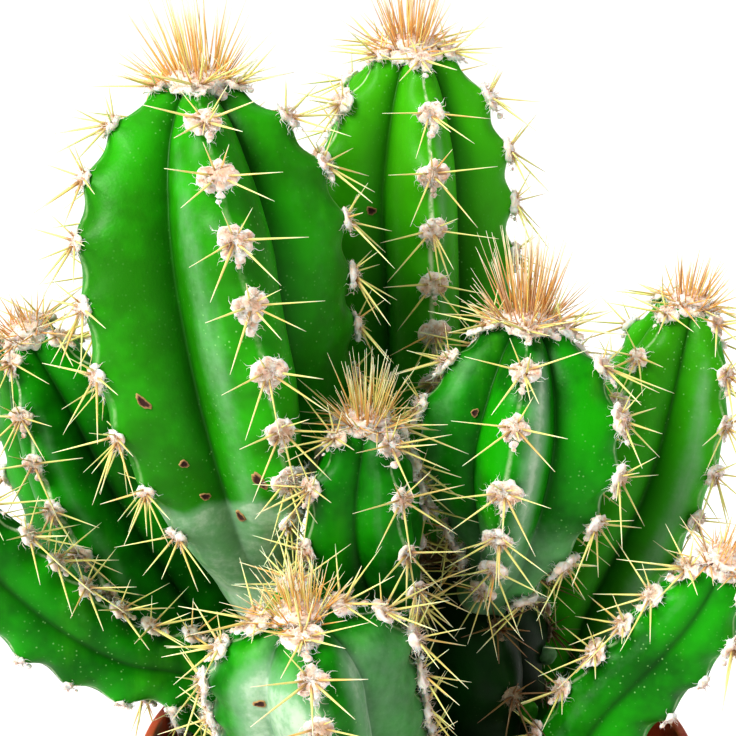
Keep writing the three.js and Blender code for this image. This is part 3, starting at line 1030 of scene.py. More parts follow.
@dataclass(frozen=True)
class StemPlan:
    """One stem as it is built and dressed. Lengths in millimetres, angles in degrees.

    The path runs from foot or neck to tip, and bare is the length without areoles at its foot.
    The shares neck, collar, waist, shoulder and depth shape the swelling, the dome and the
    grooves. facing turns the first rib from the front, twist turns the ribs over the length,
    and pitch is the distance between areoles along a crest.

    wax is how much waxy bloom and painted sheen shows in a band on one side of each rib, band that
    band's place and half-width across the flank, and bloom_and_sheen_ribs its share on each rib in
    turn.
    old_wax is the share of the length below which waxy bloom lies all round, old_strength how
    thickly, old_fade how softly it ends and old_ribs its share on each rib, and green_strip how
    much of it is missing along the other side of each rib.

    chalk is how strongly a painted highlight lightens the crests' edges, dim how much painted shade
    darkens the skin, wool and spines, and fresh how much painted light brightens the skin. droop is
    how far the fans of spines turn from the rib towards straight down. crown is the crown's wool in
    pads across, pad a pad's size and pad_ribs its share on each rib. tuft is how many spines the
    crown has, and tuft_lean how far they lean to the right. Areoles that face down more steeply
    than worn_below have lost their spines and some of their wool.
    """

    name: str
    seat: Seat
    bare: float
    girth: float
    neck: float
    collar: float
    waist: float
    shoulder: float
    ribs: int
    depth: float
    facing: float
    twist: float
    pitch: float
    path: tuple[Triple, ...]
    side: BloomAndSheenSide = BloomAndSheenSide.LEFT
    bloom_and_sheen: float = 0.4
    band: Pair = (0.45, 0.16)
    bloom_and_sheen_ribs: tuple[float, ...] = (1.0, 0.4, 0.3, 0.3, 0.4)
    old_wax: float = 0.0
    old_strength: float = 0.75
    old_fade: float = 0.012
    old_ribs: tuple[float, ...] = (1.0,)
    green_strip: float = 0.0
    crest_highlight: float = 0.5
    painted_shade: float = 0.0
    painted_light: float = 0.0
    droop: float = 0.3
    crown: float = 1.9
    pad: float = 5.8
    pad_ribs: tuple[float, ...] = (1.0,)
    tuft: int = 40
    tuft_length: float = 12
    tuft_tone: float = 0.5
    tuft_lean: float = 0.0
    worn_below: float = -2.0


STEM_PLANS = (
    # The mother stem stands in the others' shade, which is painted on as dark skin, wool and spines.
    StemPlan("mother", Seat.SOIL, 17, 24.5, 0.62, 0.12, 0.55, 0.66, 5, 0.3, 35, 0, 14,
             ((4, 1, 87.5), (4, 1, 100), (4, 1, 125), (4, 0, 151)),
             bloom_and_sheen=0.1, crest_highlight=0.1, painted_shade=0.92, pad=3.8, tuft=14, tuft_length=7),
    StemPlan("tall_left", Seat.MOTHER, 40, 26.8, 0.36, 0.235, 0.62, 0.73, 5, 0.4, 7, 48, 11,
             ((-13, -3, 133), (-23, -6, 141), (-33, -9.5, 154), (-37.5, -14, 176), (-40.5, -15, 205),
              (-42, -12.5, 230), (-43, -9, 252)),
             bloom_and_sheen=0.46, band=(0.54, 0.2), old_wax=0.42, old_strength=0.76, crest_highlight=0.3, painted_light=0.18,
             crown=2.6, pad=6.0, pad_ribs=(1.0, 0.75, 0.8, 0.8, 0.68), tuft=110, tuft_length=19,
             tuft_tone=0.5, tuft_lean=-0.16),
    # This stem's skin is brightened with painted light, where the tall left stem shades it.
    StemPlan("tall_back", Seat.MOTHER, 17, 21.3, 0.6, 0.1, 0.46, 0.72, 5, 0.38, 14, -10, 12,
             ((3, 6, 138), (3, 15, 150), (1, 25, 171), (-0.5, 29, 195), (-2, 29, 222),
              (-1.8, 27, 253.5)),
             side=BloomAndSheenSide.RIGHT, bloom_and_sheen=0.5, band=(0.2, 0.12), crest_highlight=1.0, painted_light=0.58, crown=2.3, pad=5.5,
             tuft=90, tuft_length=16, tuft_tone=0.72),
    StemPlan("middle_right", Seat.MOTHER, 19, 21, 0.27, 0.22, 0.74, 0.62, 5, 0.38, -3, -26, 10,
             ((8, -4, 136), (13, -9, 146.5), (18, -12.5, 158), (19.5, -14, 182), (20.4, -11, 206)),
             side=BloomAndSheenSide.RIGHT, bloom_and_sheen=0.85, band=(0.4, 0.27), old_wax=0.5, old_strength=0.66,
             old_fade=0.1, old_ribs=(1.0, 0.9, 0.7, 0.7, 0.7), painted_shade=0.04, crown=2.4, pad=5.6,
             tuft=140, tuft_length=19.5, tuft_tone=0.8),
    StemPlan("far_right", Seat.SOIL, 17, 16.5, 0.42, 0.1, 0.55, 0.7, 4, 0.36, -48, 4, 10.5,
             ((31, 27, 87.5), (31, 27, 99), (38, 26, 130), (49.5, 23, 162), (57.7, 20, 201)),
             bloom_and_sheen=0.62, bloom_and_sheen_ribs=(0.5, 1.0, 0.5, 0.5), band=(0.4, 0.22), painted_light=0.42, pad=4.8, tuft=46,
             tuft_length=12, tuft_tone=0.75),
    StemPlan("small_centre", Seat.MOTHER, 17, 12.8, 0.34, 0.22, 0.56, 0.62, 4, 0.34, 37, 0, 9.5,
             ((1, -6, 138), (-3.5, -14.5, 146), (-9, -22.8, 158), (-11.8, -31, 175),
              (-10.6, -32.5, 193.5)),
             bloom_and_sheen=0.3, painted_shade=0.2, crown=2.3, pad=4.4, tuft=90, tuft_length=13.5, tuft_tone=0.36),
    StemPlan("small_front", Seat.SOIL, 16, 18.8, 0.5, 0.1, 0.5, 0.84, 4, 0.33, 6, -4, 8,
             ((-15.5, -32.5, 87.5), (-15.5, -33, 99), (-19, -46, 136), (-23.2, -52.5, 163.5)),
             bloom_and_sheen=1.05, band=(0.24, 0.2), bloom_and_sheen_ribs=(1.0, 0.3, 0.3, 0.3), old_wax=0.95,
             old_strength=0.8, old_fade=0.06, old_ribs=(1.0, 0.62, 0.7, 1.0), green_strip=0.9,
             crest_highlight=0.8, painted_shade=0.04, crown=1.9, pad=5.6, tuft=84, tuft_length=12.5, tuft_tone=0.4),
    StemPlan("leaning_left", Seat.SOIL, 19, 18.2, 0.45, 0.08, 0.5, 0.62, 4, 0.36, -25, 34, 11,
             ((-35, 14, 87.5), (-37, 14, 99), (-57, 12.5, 138), (-68.5, 10, 163), (-75, 6.5, 184),
              (-80.5, 2, 200)),
             side=BloomAndSheenSide.RIGHT, bloom_and_sheen=0.4, band=(0.3, 0.14), crest_highlight=1.3, painted_shade=0.14, droop=0.8, pad=4.8,
             tuft=36, tuft_length=9, tuft_tone=0.7),
    StemPlan("low_left", Seat.SOIL, 28, 10.4, 0.44, 0.16, 0.8, 0.86, 3, 0.34, 72, 0, 10,
             ((-27, -8, 87.5), (-27, -8.5, 104), (-32.5, -10, 120.5), (-46, -12.5, 131),
              (-60, -15.5, 136), (-74, -19, 147), (-84, -22, 159), (-91.5, -26, 174)),
             bloom_and_sheen=0.15, crest_highlight=0.8, painted_shade=0.06, droop=0.9, pad=4.4, tuft=24, tuft_length=9, tuft_tone=0.6,
             worn_below=-0.45),
    StemPlan("low_right", Seat.SOIL, 24, 10.3, 0.48, 0.12, 0.5, 0.74, 3, 0.32, -73, 0, 10,
             ((27, -15, 87.5), (27.5, -15.5, 101), (36, -18, 123), (48.5, -21, 140.5), (55, -24, 152),
              (59, -27, 162.5)),
             side=BloomAndSheenSide.RIGHT, bloom_and_sheen=0.3, painted_shade=0.06, pad=5, tuft=34, tuft_length=10, tuft_tone=0.7,
             worn_below=-0.3),
)


class Axis:
    """A smooth curve through a stem's path, measured along its length."""

    def __init__(self, path: tuple[Triple, ...], steps: int = 400) -> None:
        """Draws a centripetal curve through the path's points, with steps for each stretch.

        Args:
            path: The points.
            steps: How many steps each stretch between two points has.
        """
        points = [np.array(point, float) for point in path]
        points = [2 * points[0] - points[1], *points, 2 * points[-1] - points[-2]]
        places = []
        for i in range(1, len(points) - 2):
            places.append(self.stretch(*points[i - 1:i + 3], np.arange(steps) / steps))
        self.places = np.vstack([*places, points[-2][None]])
        gaps = np.linalg.norm(np.diff(self.places, axis=0), axis=1)
        self.marks = np.concatenate([[0], np.cumsum(gaps)])
        self.length = self.marks[-1]

    def stretch(self, before: Array, start: Array, end: Array, after: Array, shares: Array) -> Array:
        """Points of the curve between two points of the path, at shares of the way.

        Args:
            before: The point before the stretch.
            start: Its first point.
            end: Its last point.
            after: The point after it.
            shares: Shares of the way.

        Returns:
            The points, one row each.
        """
        pairs = ((before, start), (start, end), (end, after))
        g0, g1, g2 = (math.sqrt(np.linalg.norm(b - a)) for a, b in pairs)
        first = (start - before) / g0 - (end - before) / (g0 + g1) + (end - start) / g1
        last = (end - start) / g1 - (after - start) / (g1 + g2) + (after - end) / g2
        first, last = first * g1, last * g1
        t = shares[:, None]
        bend = -3 * start + 3 * end - 2 * first - last
        return start + first * t + bend * t ** 2 + (2 * start - 2 * end + first + last) * t ** 3

    def at(self, shares: Array) -> Array:
        """Places at shares of the length."""
        marks = np.asarray(shares) * self.length
        return np.stack([np.interp(marks, self.marks, self.places[:, i]) for i in range(3)], axis=-1)

    def direction(self, shares: Array) -> Array:
        """Directions of the curve at shares of the length.

        Args:
            shares: Shares of the length.

        Returns:
            Vectors of length 1, one row each.
        """
        shares = np.asarray(shares, float)
        low, high = np.maximum(shares - 0.002, 0), np.minimum(shares + 0.002, 1)
        return unit(self.at(high) - self.at(low))


@dataclass(frozen=True)
class Rib:
    """How every stem's ribs are shaped. Sizes in millimetres."""

    youngest_areole: float = 3.4
    youngest_size: float = 0.8
    worn_size: float = 0.6
    first_areole: float = 7.5
    areole_rise: float = 0.9
    notch_sink: float = 0.8
    crown_notch: float = 1.15
    crest_reach: float = 0.27
    sharpness: float = 1.5
    groove_round: float = 0.06

    def height(self, across: Array) -> Array:
        """The height over the groove, 1 on the crest and 0 in the groove, at shares across."""
        raw = 1 - np.abs(across) ** self.sharpness
        return np.sqrt(raw ** 2 + self.groove_round ** 2) - self.groove_round * (1 - raw)


RIB = Rib()
ROW_PITCH = 1.05
CREST_STEPS = np.array([0, 0.035, 0.08, 0.14, 0.21, 0.3, 0.4, 0.51, 0.62, 0.73, 0.83, 0.91, 0.965, 1])
COARSE_ROW_PITCH = 3.0
COARSE_STEPS = np.array([0, 0.15, 0.3, 0.6, 0.85, 1])
SLOPE_STEP = 0.004


class Stem:
    """A stem with its axis, its skin and what grows on it."""

    def __init__(self, plan: StemPlan, number: int) -> None:
        """Works out the axis and the rows of areoles.

        Args:
            plan: The stem's plan.
            number: Its place in the list, which seeds its random draws.
        """
        self.plan = plan
        self.random = np.random.default_rng(500 + number)
        self.axis = Axis(plan.path)
        self.length = self.axis.length
        shares = np.linspace(1, 0, 2401)
        steps = np.hypot(np.diff(shares) * self.length, np.diff(self.crest_radius(shares)))
        self.arc_shares = shares
        self.arcs = np.concatenate([[0], np.cumsum(steps)])
        reach = np.interp(-plan.bare / self.length, -shares, self.arcs)
        self.areole_arcs = np.arange(RIB.first_areole, reach, plan.pitch)

    @property
    def piece_name(self) -> str:
        """The name of the construction node that the stem's skin stands for."""
        return f"stem_{self.plan.name}"

    def share_at(self, arc: Any) -> Any:
        """The share of the length at a distance along the crest from the tip."""
        return np.interp(arc, self.arcs, self.arc_shares)

    def crest_radius(self, share: Array) -> Array:
        """The radius over the crests: a neck, a swelling and a dome.

        Args:
            share: Shares of the length.

        Returns:
            The radii, without the rise at the areoles.
        """
        plan = self.plan
        swollen = np.clip((share - plan.collar) / (plan.waist - plan.collar), 0, 1)
        swelling = np.sin(math.pi / 2 * swollen) ** 1.25
        dome = np.maximum(0, (share - plan.shoulder) / (1 - plan.shoulder))
        return plan.girth * lerp(plan.neck, 1, swelling) * np.sqrt(np.maximum(0, 1 - dome ** 2))

    def groove_depth(self, share: Array) -> Array:
        """The grooves' depth as a share of the crest radius.

        Args:
            share: Shares of the length.

        Returns:
            The depths.
        """
        bare = self.plan.bare / self.length
        deeper = 1 + (RIB.crown_notch - 1) * smoothstep(self.plan.shoulder, 1, share)
        return self.plan.depth * deeper * smoothstep(bare * 0.5, bare * 1.8, share)

    def relief(self, share: Array) -> Array:
        """How far the crest stands out at an areole and dips between two, in millimetres.

        Args:
            share: Shares of the length.

        Returns:
            The heights.
        """
        plan, arc = self.plan, np.interp(-share, -self.arc_shares, self.arcs)
        wave = np.cos(2 * math.pi * (arc - RIB.first_areole) / plan.pitch)
        last = self.areole_arcs[-1] + plan.pitch / 2
        fade = smoothstep(0, 5, arc) * smoothstep(last + 8, last - 2, arc)
        return np.where(wave > 0, RIB.areole_rise, RIB.notch_sink) * wave * fade

    def skin(self, shares: Array, rib: Array, across: Array) -> tuple[Array, Array]:
        """Points of the skin.

        Args:
            shares: Shares of the length, one for each row.
            rib: The number of the rib, one for each column.
            across: From -1 to 1 across that rib, 0 on its crest, one for each column.

        Returns:
            The points, rows by columns, and the directions out of the crest's profile there.
        """
        half = math.pi / self.plan.ribs
        centre, up = self.axis.at(shares), self.axis.direction(shares)
        front = unit(FRONT - up * (up @ FRONT)[:, None])
        side = np.cross(up, front)
        turn = np.radians(self.plan.facing + self.plan.twist * (1 - shares))[:, None]
        angle = turn + (2 * rib + across)[None] * half
        spoke = front[:, None] * np.cos(angle)[..., None] + side[:, None] * np.sin(angle)[..., None]
        sink = 1 - RIB.height(across)
        radius = self.crest_radius(shares)[:, None] * (1 - self.groove_depth(shares)[:, None] * sink)
        low, high = np.maximum(shares - SLOPE_STEP, 0), np.minimum(shares + SLOPE_STEP, 1)
        slope = unit(np.stack([(high - low) * self.length,
                               self.crest_radius(high) - self.crest_radius(low)], axis=-1))
        out = spoke * slope[:, None, :1] - up[:, None] * slope[:, None, 1:]
        rise = self.relief(shares)[:, None] * np.exp(-(across / RIB.crest_reach) ** 2)
        points = centre[:, None] + spoke * radius[..., None] + out * rise[..., None]
        return points + out * self.lumps(points)[..., None], out

    def lumps(self, points: Array) -> Array:
        """The slight unevenness of grown flesh, in millimetres.

        Args:
            points: Points of the skin.

        Returns:
            How far each one is raised.
        """
        x, y, z = np.moveaxis(points, -1, 0)
        broad = np.sin(0.21 * x + 1.7 * np.sin(0.09 * z)) * np.cos(0.19 * y + 0.13 * z)
        return 0.22 * broad + 0.08 * np.sin(0.63 * z + 0.5 * x) * np.sin(0.57 * y + 0.31 * x)

    def columns(self, steps: Array) -> tuple[Array, Array]:
        """The rib and the place across it of every column of a mesh.

        Args:
            steps: Places across half a rib, from its crest to its groove.

        Returns:
            One number each for every column.
        """
        across = np.concatenate([-steps[:0:-1], steps[:-1]])
        ribs = np.repeat(np.arange(self.plan.ribs), len(across))
        return ribs, np.tile(across, self.plan.ribs)

    def body(self, row_pitch: float, steps: Array) -> tuple[Array, Faces, Array, Array]:
        """The closed body of the stem.

        Args:
            row_pitch: Distance between rows along the crest, in millimetres.
            steps: Places across half a rib, from its crest to its groove.

        Returns:
            The corners, the faces, and the share and the place across the rib of each corner.
        """
        rows = int(self.arcs[-1] / row_pitch)
        inner = self.share_at(np.linspace(self.arcs[-1], 0, rows + 1)[:-1])
        shares = np.concatenate([inner, self.share_at(np.array([0.35, 0.12]) * row_pitch)])
        ribs, across = self.columns(steps)
        points, _ = self.skin(shares, ribs, across)
        ends = self.axis.at(np.array([0.0, 1.0]))
        faces = tube_faces(len(shares), len(ribs))
        corner_shares = np.concatenate([np.repeat(shares, len(ribs)), [0, 1]])
        corner_across = np.concatenate([np.tile(across, len(shares)), [0, 0]])
        return np.vstack([points.reshape(-1, 3), ends]), faces, corner_shares, corner_across

    def build_skin(self) -> Piece:
        """Makes the fine skin, with the numbers that its finish reads.

        Returns:
            The skin.
        """
        points, faces, share, across = self.body(ROW_PITCH, CREST_STEPS)
        piece = make_object(f"skin_{self.plan.name}", points, faces)
        plan, bare = self.plan, self.plan.bare / self.length
        ribs = np.resize(self.columns(CREST_STEPS)[0], len(points))
        # A band of waxy bloom and painted sheen on one flank of each rib, with a share for each rib.
        middle, half = plan.band
        flank = plan.side.value * across
        band = np.exp(-((flank - middle) / half) ** 2) * np.array(plan.bloom_and_sheen_ribs)[ribs]
        band *= smoothstep(0.99, 0.86, share)
        edge = plan.old_wax + 0.005 * np.sin(9 * across + 2 * ribs)
        old = plan.old_strength * smoothstep(edge + plan.old_fade, edge - plan.old_fade, share)
        old *= (plan.old_wax > 0) * np.resize(plan.old_ribs, plan.ribs)[ribs]
        old *= 1 - plan.green_strip * np.exp(-((flank + 0.3) / 0.22) ** 2)
        store(piece, "crest", 1 - np.abs(across))
        store(piece, "bloom_and_sheen", np.maximum(plan.bloom_and_sheen * band, old))
        store(piece, "age", smoothstep(bare * 1.1, bare * 0.35, share))
        # Per-stem numbers for the painted crest highlight, painted shade and painted light.
        for name in ("crest_highlight", "painted_shade", "painted_light"):
            store(piece, name, np.full(len(points), getattr(plan, name)))
        return piece

    def spot(self, share: float, rib: int, across: float) -> tuple[Array, Array, Array, Array]:
        """A place on the skin and the directions there.

        Args:
            share: The share of the stem's length.
            rib: The number of the rib.
            across: The place across it, 0 on its crest.

        Returns:
            The place, and the directions out of the skin, up it and across it.
        """
        shares = share + SLOPE_STEP * np.array([-1, 0, 1])
        places = across + 0.03 * np.array([-1, 0, 1])
        points, out = self.skin(shares, np.full(3, rib), places)
        up, beside = unit(points[2, 1] - points[0, 1]), points[1, 2] - points[1, 0]
        normal = unit(np.cross(beside, up))
        normal *= np.sign(normal @ out[1, 1])
        return points[1, 1], normal, up, unit(beside)

    def distance(self, points: Array) -> Array:
        """How far points lie outside the stem, reckoned as a row of balls along its axis.

        Args:
            points: The points.

        Returns:
            A distance for each.
        """
        shares = np.linspace(0, 1, 49)
        reach = np.linalg.norm(points[:, None] - self.axis.at(shares)[None], axis=-1)
        return np.min(reach - self.crest_radius(shares), axis=1)

    def areoles(self) -> Rows:
        """The areoles' places and directions, the youngest ones first, one row each.

        Returns:
            Rows named place, out, rising, size and arc.
        """
        arcs = np.concatenate([[RIB.youngest_areole], self.areole_arcs])
        shares = self.share_at(arcs)
        ribs = np.arange(self.plan.ribs)
        place, out = self.skin(shares, ribs, np.zeros(len(ribs)))
        up = np.repeat(self.axis.direction(shares)[:, None], len(ribs), axis=1)
        rising = unit(up - out * np.sum(up * out, axis=-1, keepdims=True))
        size = np.where(arcs < RIB.first_areole, RIB.youngest_size, 1)[:, None] * np.ones(len(ribs))
        size *= self.random.uniform(0.88, 1.1, size.shape) * self.plan.pad
        size *= np.resize(self.plan.pad_ribs, len(ribs))
        size *= np.where(out[..., 2] < self.plan.worn_below, RIB.worn_size, 1)
        rows = {"place": place, "out": unit(out), "rising": rising}
        rows = {key: column.reshape(-1, 3) for key, column in rows.items()}
        return rows | {"size": size.ravel(), "arc": np.repeat(arcs, len(ribs))}


# ---- spines, wool and scars ---------------------------------------------------------------


@dataclass(frozen=True)
class SpineRole:
    """One place in an areole's fan of spines, in degrees and millimetres.

    swing is the angle round the areole from straight down the rib, and lift the angle out of
    the skin.
    """

    swing: float
    lift: float
    length: float
    girth: float = 0.3
    chance: float = 1.0


FAN = (
    SpineRole(0, 30, 10.5, 0.26, 0.8),
    SpineRole(38, 24, 12.5, 0.28),
    SpineRole(-38, 24, 12.5, 0.28),
    SpineRole(84, 20, 11.5, 0.26),
    SpineRole(-84, 20, 11.5, 0.26),
    SpineRole(148, 42, 6.5, 0.2, 0.8),
    SpineRole(-148, 42, 6.5, 0.2, 0.8),
    SpineRole(20, 68, 9.5, 0.26, 0.7),
)
# How far a spine is turned and raised to pass its neighbours, tried in this order.
SWERVES = ((0, 0), (14, 6), (-14, 6), (26, 14), (-26, 14), (0, 30), (45, 28), (-45, 28))


@dataclass
class Spines:
    """The spines of one stem. Sizes in millimetres, angles in degrees.

    A ray for each spine starts outside its own wool. The crown's tuft has an upright heart and a
    shorter, wider fringe.
    """

    stem: Stem
    obstacles: BVHTree
    start: float = 1.6
    margin: float = 0.2
    shortest: float = 3.5
    level: float = 0.3
    swing_scatter: float = 9
    lift_scatter: float = 7
    steepest: float = 88
    young_length: float = 0.8
    young_girth: float = 0.75
    young_tone: float = 0.3
    heart: float = 0.55
    heart_spread: float = 19
    heart_lengths: Pair = (0.7, 1.06)
    fringe_spread: float = 62
    fringe_lengths: Pair = (0.45, 0.8)
    fringe_tone: float = 0.2
    tuft_scatter: float = 8
    tuft_girths: Pair = (0.13, 0.23)

    def growing(self) -> Rows:
        """Every spine's root, direction, length, girth and tone, one row each.

        Returns:
            Rows named root, aim, length, girth and tone.
        """
        rows: list[tuple] = []
        areoles = self.stem.areoles()
        for i, arc in enumerate(areoles["arc"]):
            young = arc < RIB.first_areole
            place, out, rising = (areoles[key][i] for key in ("place", "out", "rising"))
            if out[2] < self.stem.plan.worn_below:
                continue
            upright = UP - out * (UP @ out)
            if np.linalg.norm(upright) > self.level:
                rising = unit(lerp(rising, unit(upright), self.stem.plan.droop))
            across = np.cross(rising, out)
            for role in FAN:
                self.add(rows, role, place, out, rising, across, young)
        self.add_tuft(rows)
        keys = ("root", "aim", "length", "girth", "tone")
        return {key: np.array(column) for key, column in zip(keys, zip(*rows))}

    def add(self, rows: list, role: SpineRole, place: Array, out: Array, rising: Array,
            across: Array, young: bool) -> None:
        """Adds one spine of an areole's fan, turned out of its neighbours' way.

        Args:
            rows: The spines so far.
            role: The spine's place in the fan.
            place: The areole's place.
            out: The direction out of the skin.
            rising: The direction up the rib.
            across: The direction across the rib.
            young: Whether the areole is one of the youngest.
        """
        draw = self.stem.random
        chance = draw.random()
        swing = role.swing + draw.normal(0, self.swing_scatter)
        lift = role.lift + draw.normal(0, self.lift_scatter)
        length = role.length * draw.uniform(0.78, 1.12) * (self.young_length if young else 1)
        tone = np.clip(draw.normal(0.22, 0.12) + (self.young_tone if young else 0), 0, 1)
        girth = role.girth * draw.uniform(0.85, 1.15) * (self.young_girth if young else 1)
        if chance > role.chance:
            return
        for turned_by, raised_by in SWERVES:
            angle = np.radians(swing + turned_by)
            raised = np.radians(min(lift + raised_by, self.steepest))
            flat = across * math.sin(angle) - rising * math.cos(angle)
            aim = flat * math.cos(raised) + out * math.sin(raised)
            free = self.free_length(place, aim, length)
            if free >= length:
                break
        if free > self.shortest:
            root = place + out * 0.6 + flat * self.stem.plan.pad * 0.16
            rows.append((root, aim, min(free, length), girth, tone))

    def free_length(self, place: Array, aim: Array, length: float) -> float:
        """How far a spine can grow before it meets something, up to a little over its length.

        Args:
            place: Its root.
            aim: Its direction.
            length: The length it wants.

        Returns:
            The length it can have.
        """
        start = Vector((place + aim * self.start) * MM)
        hit = self.obstacles.ray_cast(start, Vector(aim), (length - self.start + 0.5) * MM)
        return hit[3] / MM + self.start - self.margin if hit[0] else length

    def add_tuft(self, rows: list) -> None:
        """Adds the crown's dense tuft of young spines on a golden-angle spiral.

        Args:
            rows: The spines so far.
        """
        plan, draw = self.stem.plan, self.stem.random
        tip = self.stem.axis.at(1.0)
        up = unit(self.stem.axis.direction(1.0) + np.array([plan.tuft_lean, 0, 0]))
        front = unit(FRONT - up * (up @ FRONT))
        side = np.cross(up, front)
        for i in range(plan.tuft):
            share = (i + 0.5) / plan.tuft
            angle = i * GOLDEN_ANGLE + draw.normal(0, 0.25)
            spoke = front * math.cos(angle) + side * math.sin(angle)
            inner = share < self.heart
            spread = self.heart_spread * math.sqrt(share / self.heart)
            if not inner:
                outer = (share - self.heart) / (1 - self.heart)
                spread = lerp(self.heart_spread, self.fringe_spread, outer)
            tilt = math.radians(spread + draw.normal(0, self.tuft_scatter))
            aim = up * math.cos(tilt) + spoke * math.sin(tilt)
            root = tip + spoke * plan.pad * 0.8 * math.sqrt(share) - up * (0.2 + 1.3 * share)
            lengths = self.heart_lengths if inner else self.fringe_lengths
            length = plan.tuft_length * draw.uniform(*lengths)
            tone = plan.tuft_tone + draw.normal(0, 0.2) + (0 if inner else self.fringe_tone)
            rows.append((root, aim, length, draw.uniform(*self.tuft_girths), np.clip(tone, 0, 1)))

    def build(self, tree: Growth) -> Piece:
        """Makes the spines.

        Args:
            tree: The tree that grows needles.

        Returns:
            The spines.
        """
        rows = self.growing()
        seeds = make_object("spine_roots", rows["root"], [])
        store(seeds, "aim", rows["aim"])
        for key in ("length", "girth"):
            store(seeds, key, rows[key] * MM)
        store(seeds, "tone", rows["tone"])
        # The stem's painted shade, for spines that stand in shadow.
        store(seeds, "painted_shade", np.full(len(rows["tone"]), self.stem.plan.painted_shade))
        return tree.grow(f"spines_{self.stem.plan.name}", seeds, {"Sides": 6})


def spine_tree() -> Growth:
    """The tree that grows a tapered, slightly bowed needle on every point.

    Returns:
        The tree.
    """
    tree = Growth("spine_growth", {"Sides": 6})
    needle = {"Vertices": tree.given["Sides"], "Side Segments": 5, "Radius Top": 0.04,
              "Radius Bottom": 1.0, "Depth": 1.0}
    cone = tree.node("GeometryNodeMeshCone", needle, fill_type="TRIANGLE_FAN").outputs[0]
    place = tree.node("GeometryNodeInputPosition").outputs[0]
    parts = tree.node("ShaderNodeSeparateXYZ", {0: place}).outputs
    along = parts["Z"]
    cone = tree.keep(cone, "along", along)
    fuller = tree.maths("POWER", tree.maths("SUBTRACT", 1.02, along), -0.4)
    x = tree.times(parts["X"], fuller)
    y = tree.times(parts["Y"], fuller)
    shaped = {"Geometry": cone, "Position": tree.sized(x, y, along)}
    cone = tree.node("GeometryNodeSetPosition", shaped).outputs[0]
    rotation = tree.aimed(tree.kept("aim", "FLOAT_VECTOR"), 3)
    girth = tree.kept("girth")
    scale = tree.sized(girth, girth, tree.kept("length"))
    tree.end(tree.real(tree.placed(tree.given["Geometry"], cone, rotation, scale)), SpineHorn())
    return tree


@dataclass
class Wool:
    """The woolly cushions of one stem's areoles and crown.

    Each cushion has a few lobes, given by their places below and beside its middle and their
    sizes, as shares of its own size. Hairs are counted for a square metre, and lengths are in
    millimetres.
    """

    stem: Stem
    lobes: tuple[Triple, ...] = (
        (0.0, 0.17, 0.72), (0.02, -0.19, 0.7), (0.3, 0.1, 0.44), (0.28, -0.22, 0.4), (-0.22, 0.0, 0.52),
        (0.58, 0.04, 0.24), (0.8, -0.02, 0.17))
    crown_lobes: int = 11
    crown_pad: float = 0.8
    crown_reach: Pair = (0.32, 0.44)
    crown_sink: Pair = (0.5, 1.7)
    crown_lobe: Pair = (0.55, 0.85)
    hairs: float = 0.8e6
    hair_length: float = 1.7

    def build(self, tree: Growth) -> Piece:
        """Makes the wool.

        Args:
            tree: The tree that grows wool.

        Returns:
            The wool.
        """
        plan, areoles = self.stem.plan, self.stem.areoles()
        tip, up = self.stem.axis.at(1.0), self.stem.axis.direction(1.0)
        side = unit(np.cross(up, FRONT))
        out, rising, size = areoles["out"], areoles["rising"], areoles["size"][:, None]
        across = np.cross(rising, out)
        rows = []
        for below, beside, share in self.lobes:
            shifts = size * (below + self.stem.random.uniform(-0.05, 0.05, size.shape))
            sideways = size * (beside + self.stem.random.uniform(-0.08, 0.08, size.shape))
            lobe = areoles["place"] + out * 0.15 - rising * shifts + across * sideways
            rows.append((lobe, out, -rising, size * share))
        crown, draw = plan.pad * plan.crown, self.stem.random
        rows.append((tip[None] + up * 0.3, up[None], side[None], np.array([[crown * self.crown_pad]])))
        for i in range(self.crown_lobes):
            angle = i * GOLDEN_ANGLE
            spoke = side * math.cos(angle) + np.cross(up, side) * math.sin(angle)
            lobe = tip + spoke * crown * draw.uniform(*self.crown_reach)
            lobe = lobe - up * draw.uniform(*self.crown_sink)
            width = plan.pad * draw.uniform(*self.crown_lobe)
            rows.append((lobe[None], unit(up + spoke * 0.8)[None], spoke[None], np.array([[width]])))
        places, outs, downs, sizes = (np.vstack(column) for column in zip(*rows))
        seeds = make_object("wool_roots", places, [])
        store(seeds, "out", outs)
        store(seeds, "down", downs)
        store(seeds, "size", sizes.ravel() * MM)
        # The stem's painted shade, for wool that stands in shadow.
        store(seeds, "painted_shade", np.full(len(places), plan.painted_shade))
        sizes = {"Hairs": self.hairs, "Hair length": self.hair_length * MM}
        return tree.grow(f"wool_{plan.name}", seeds, sizes)


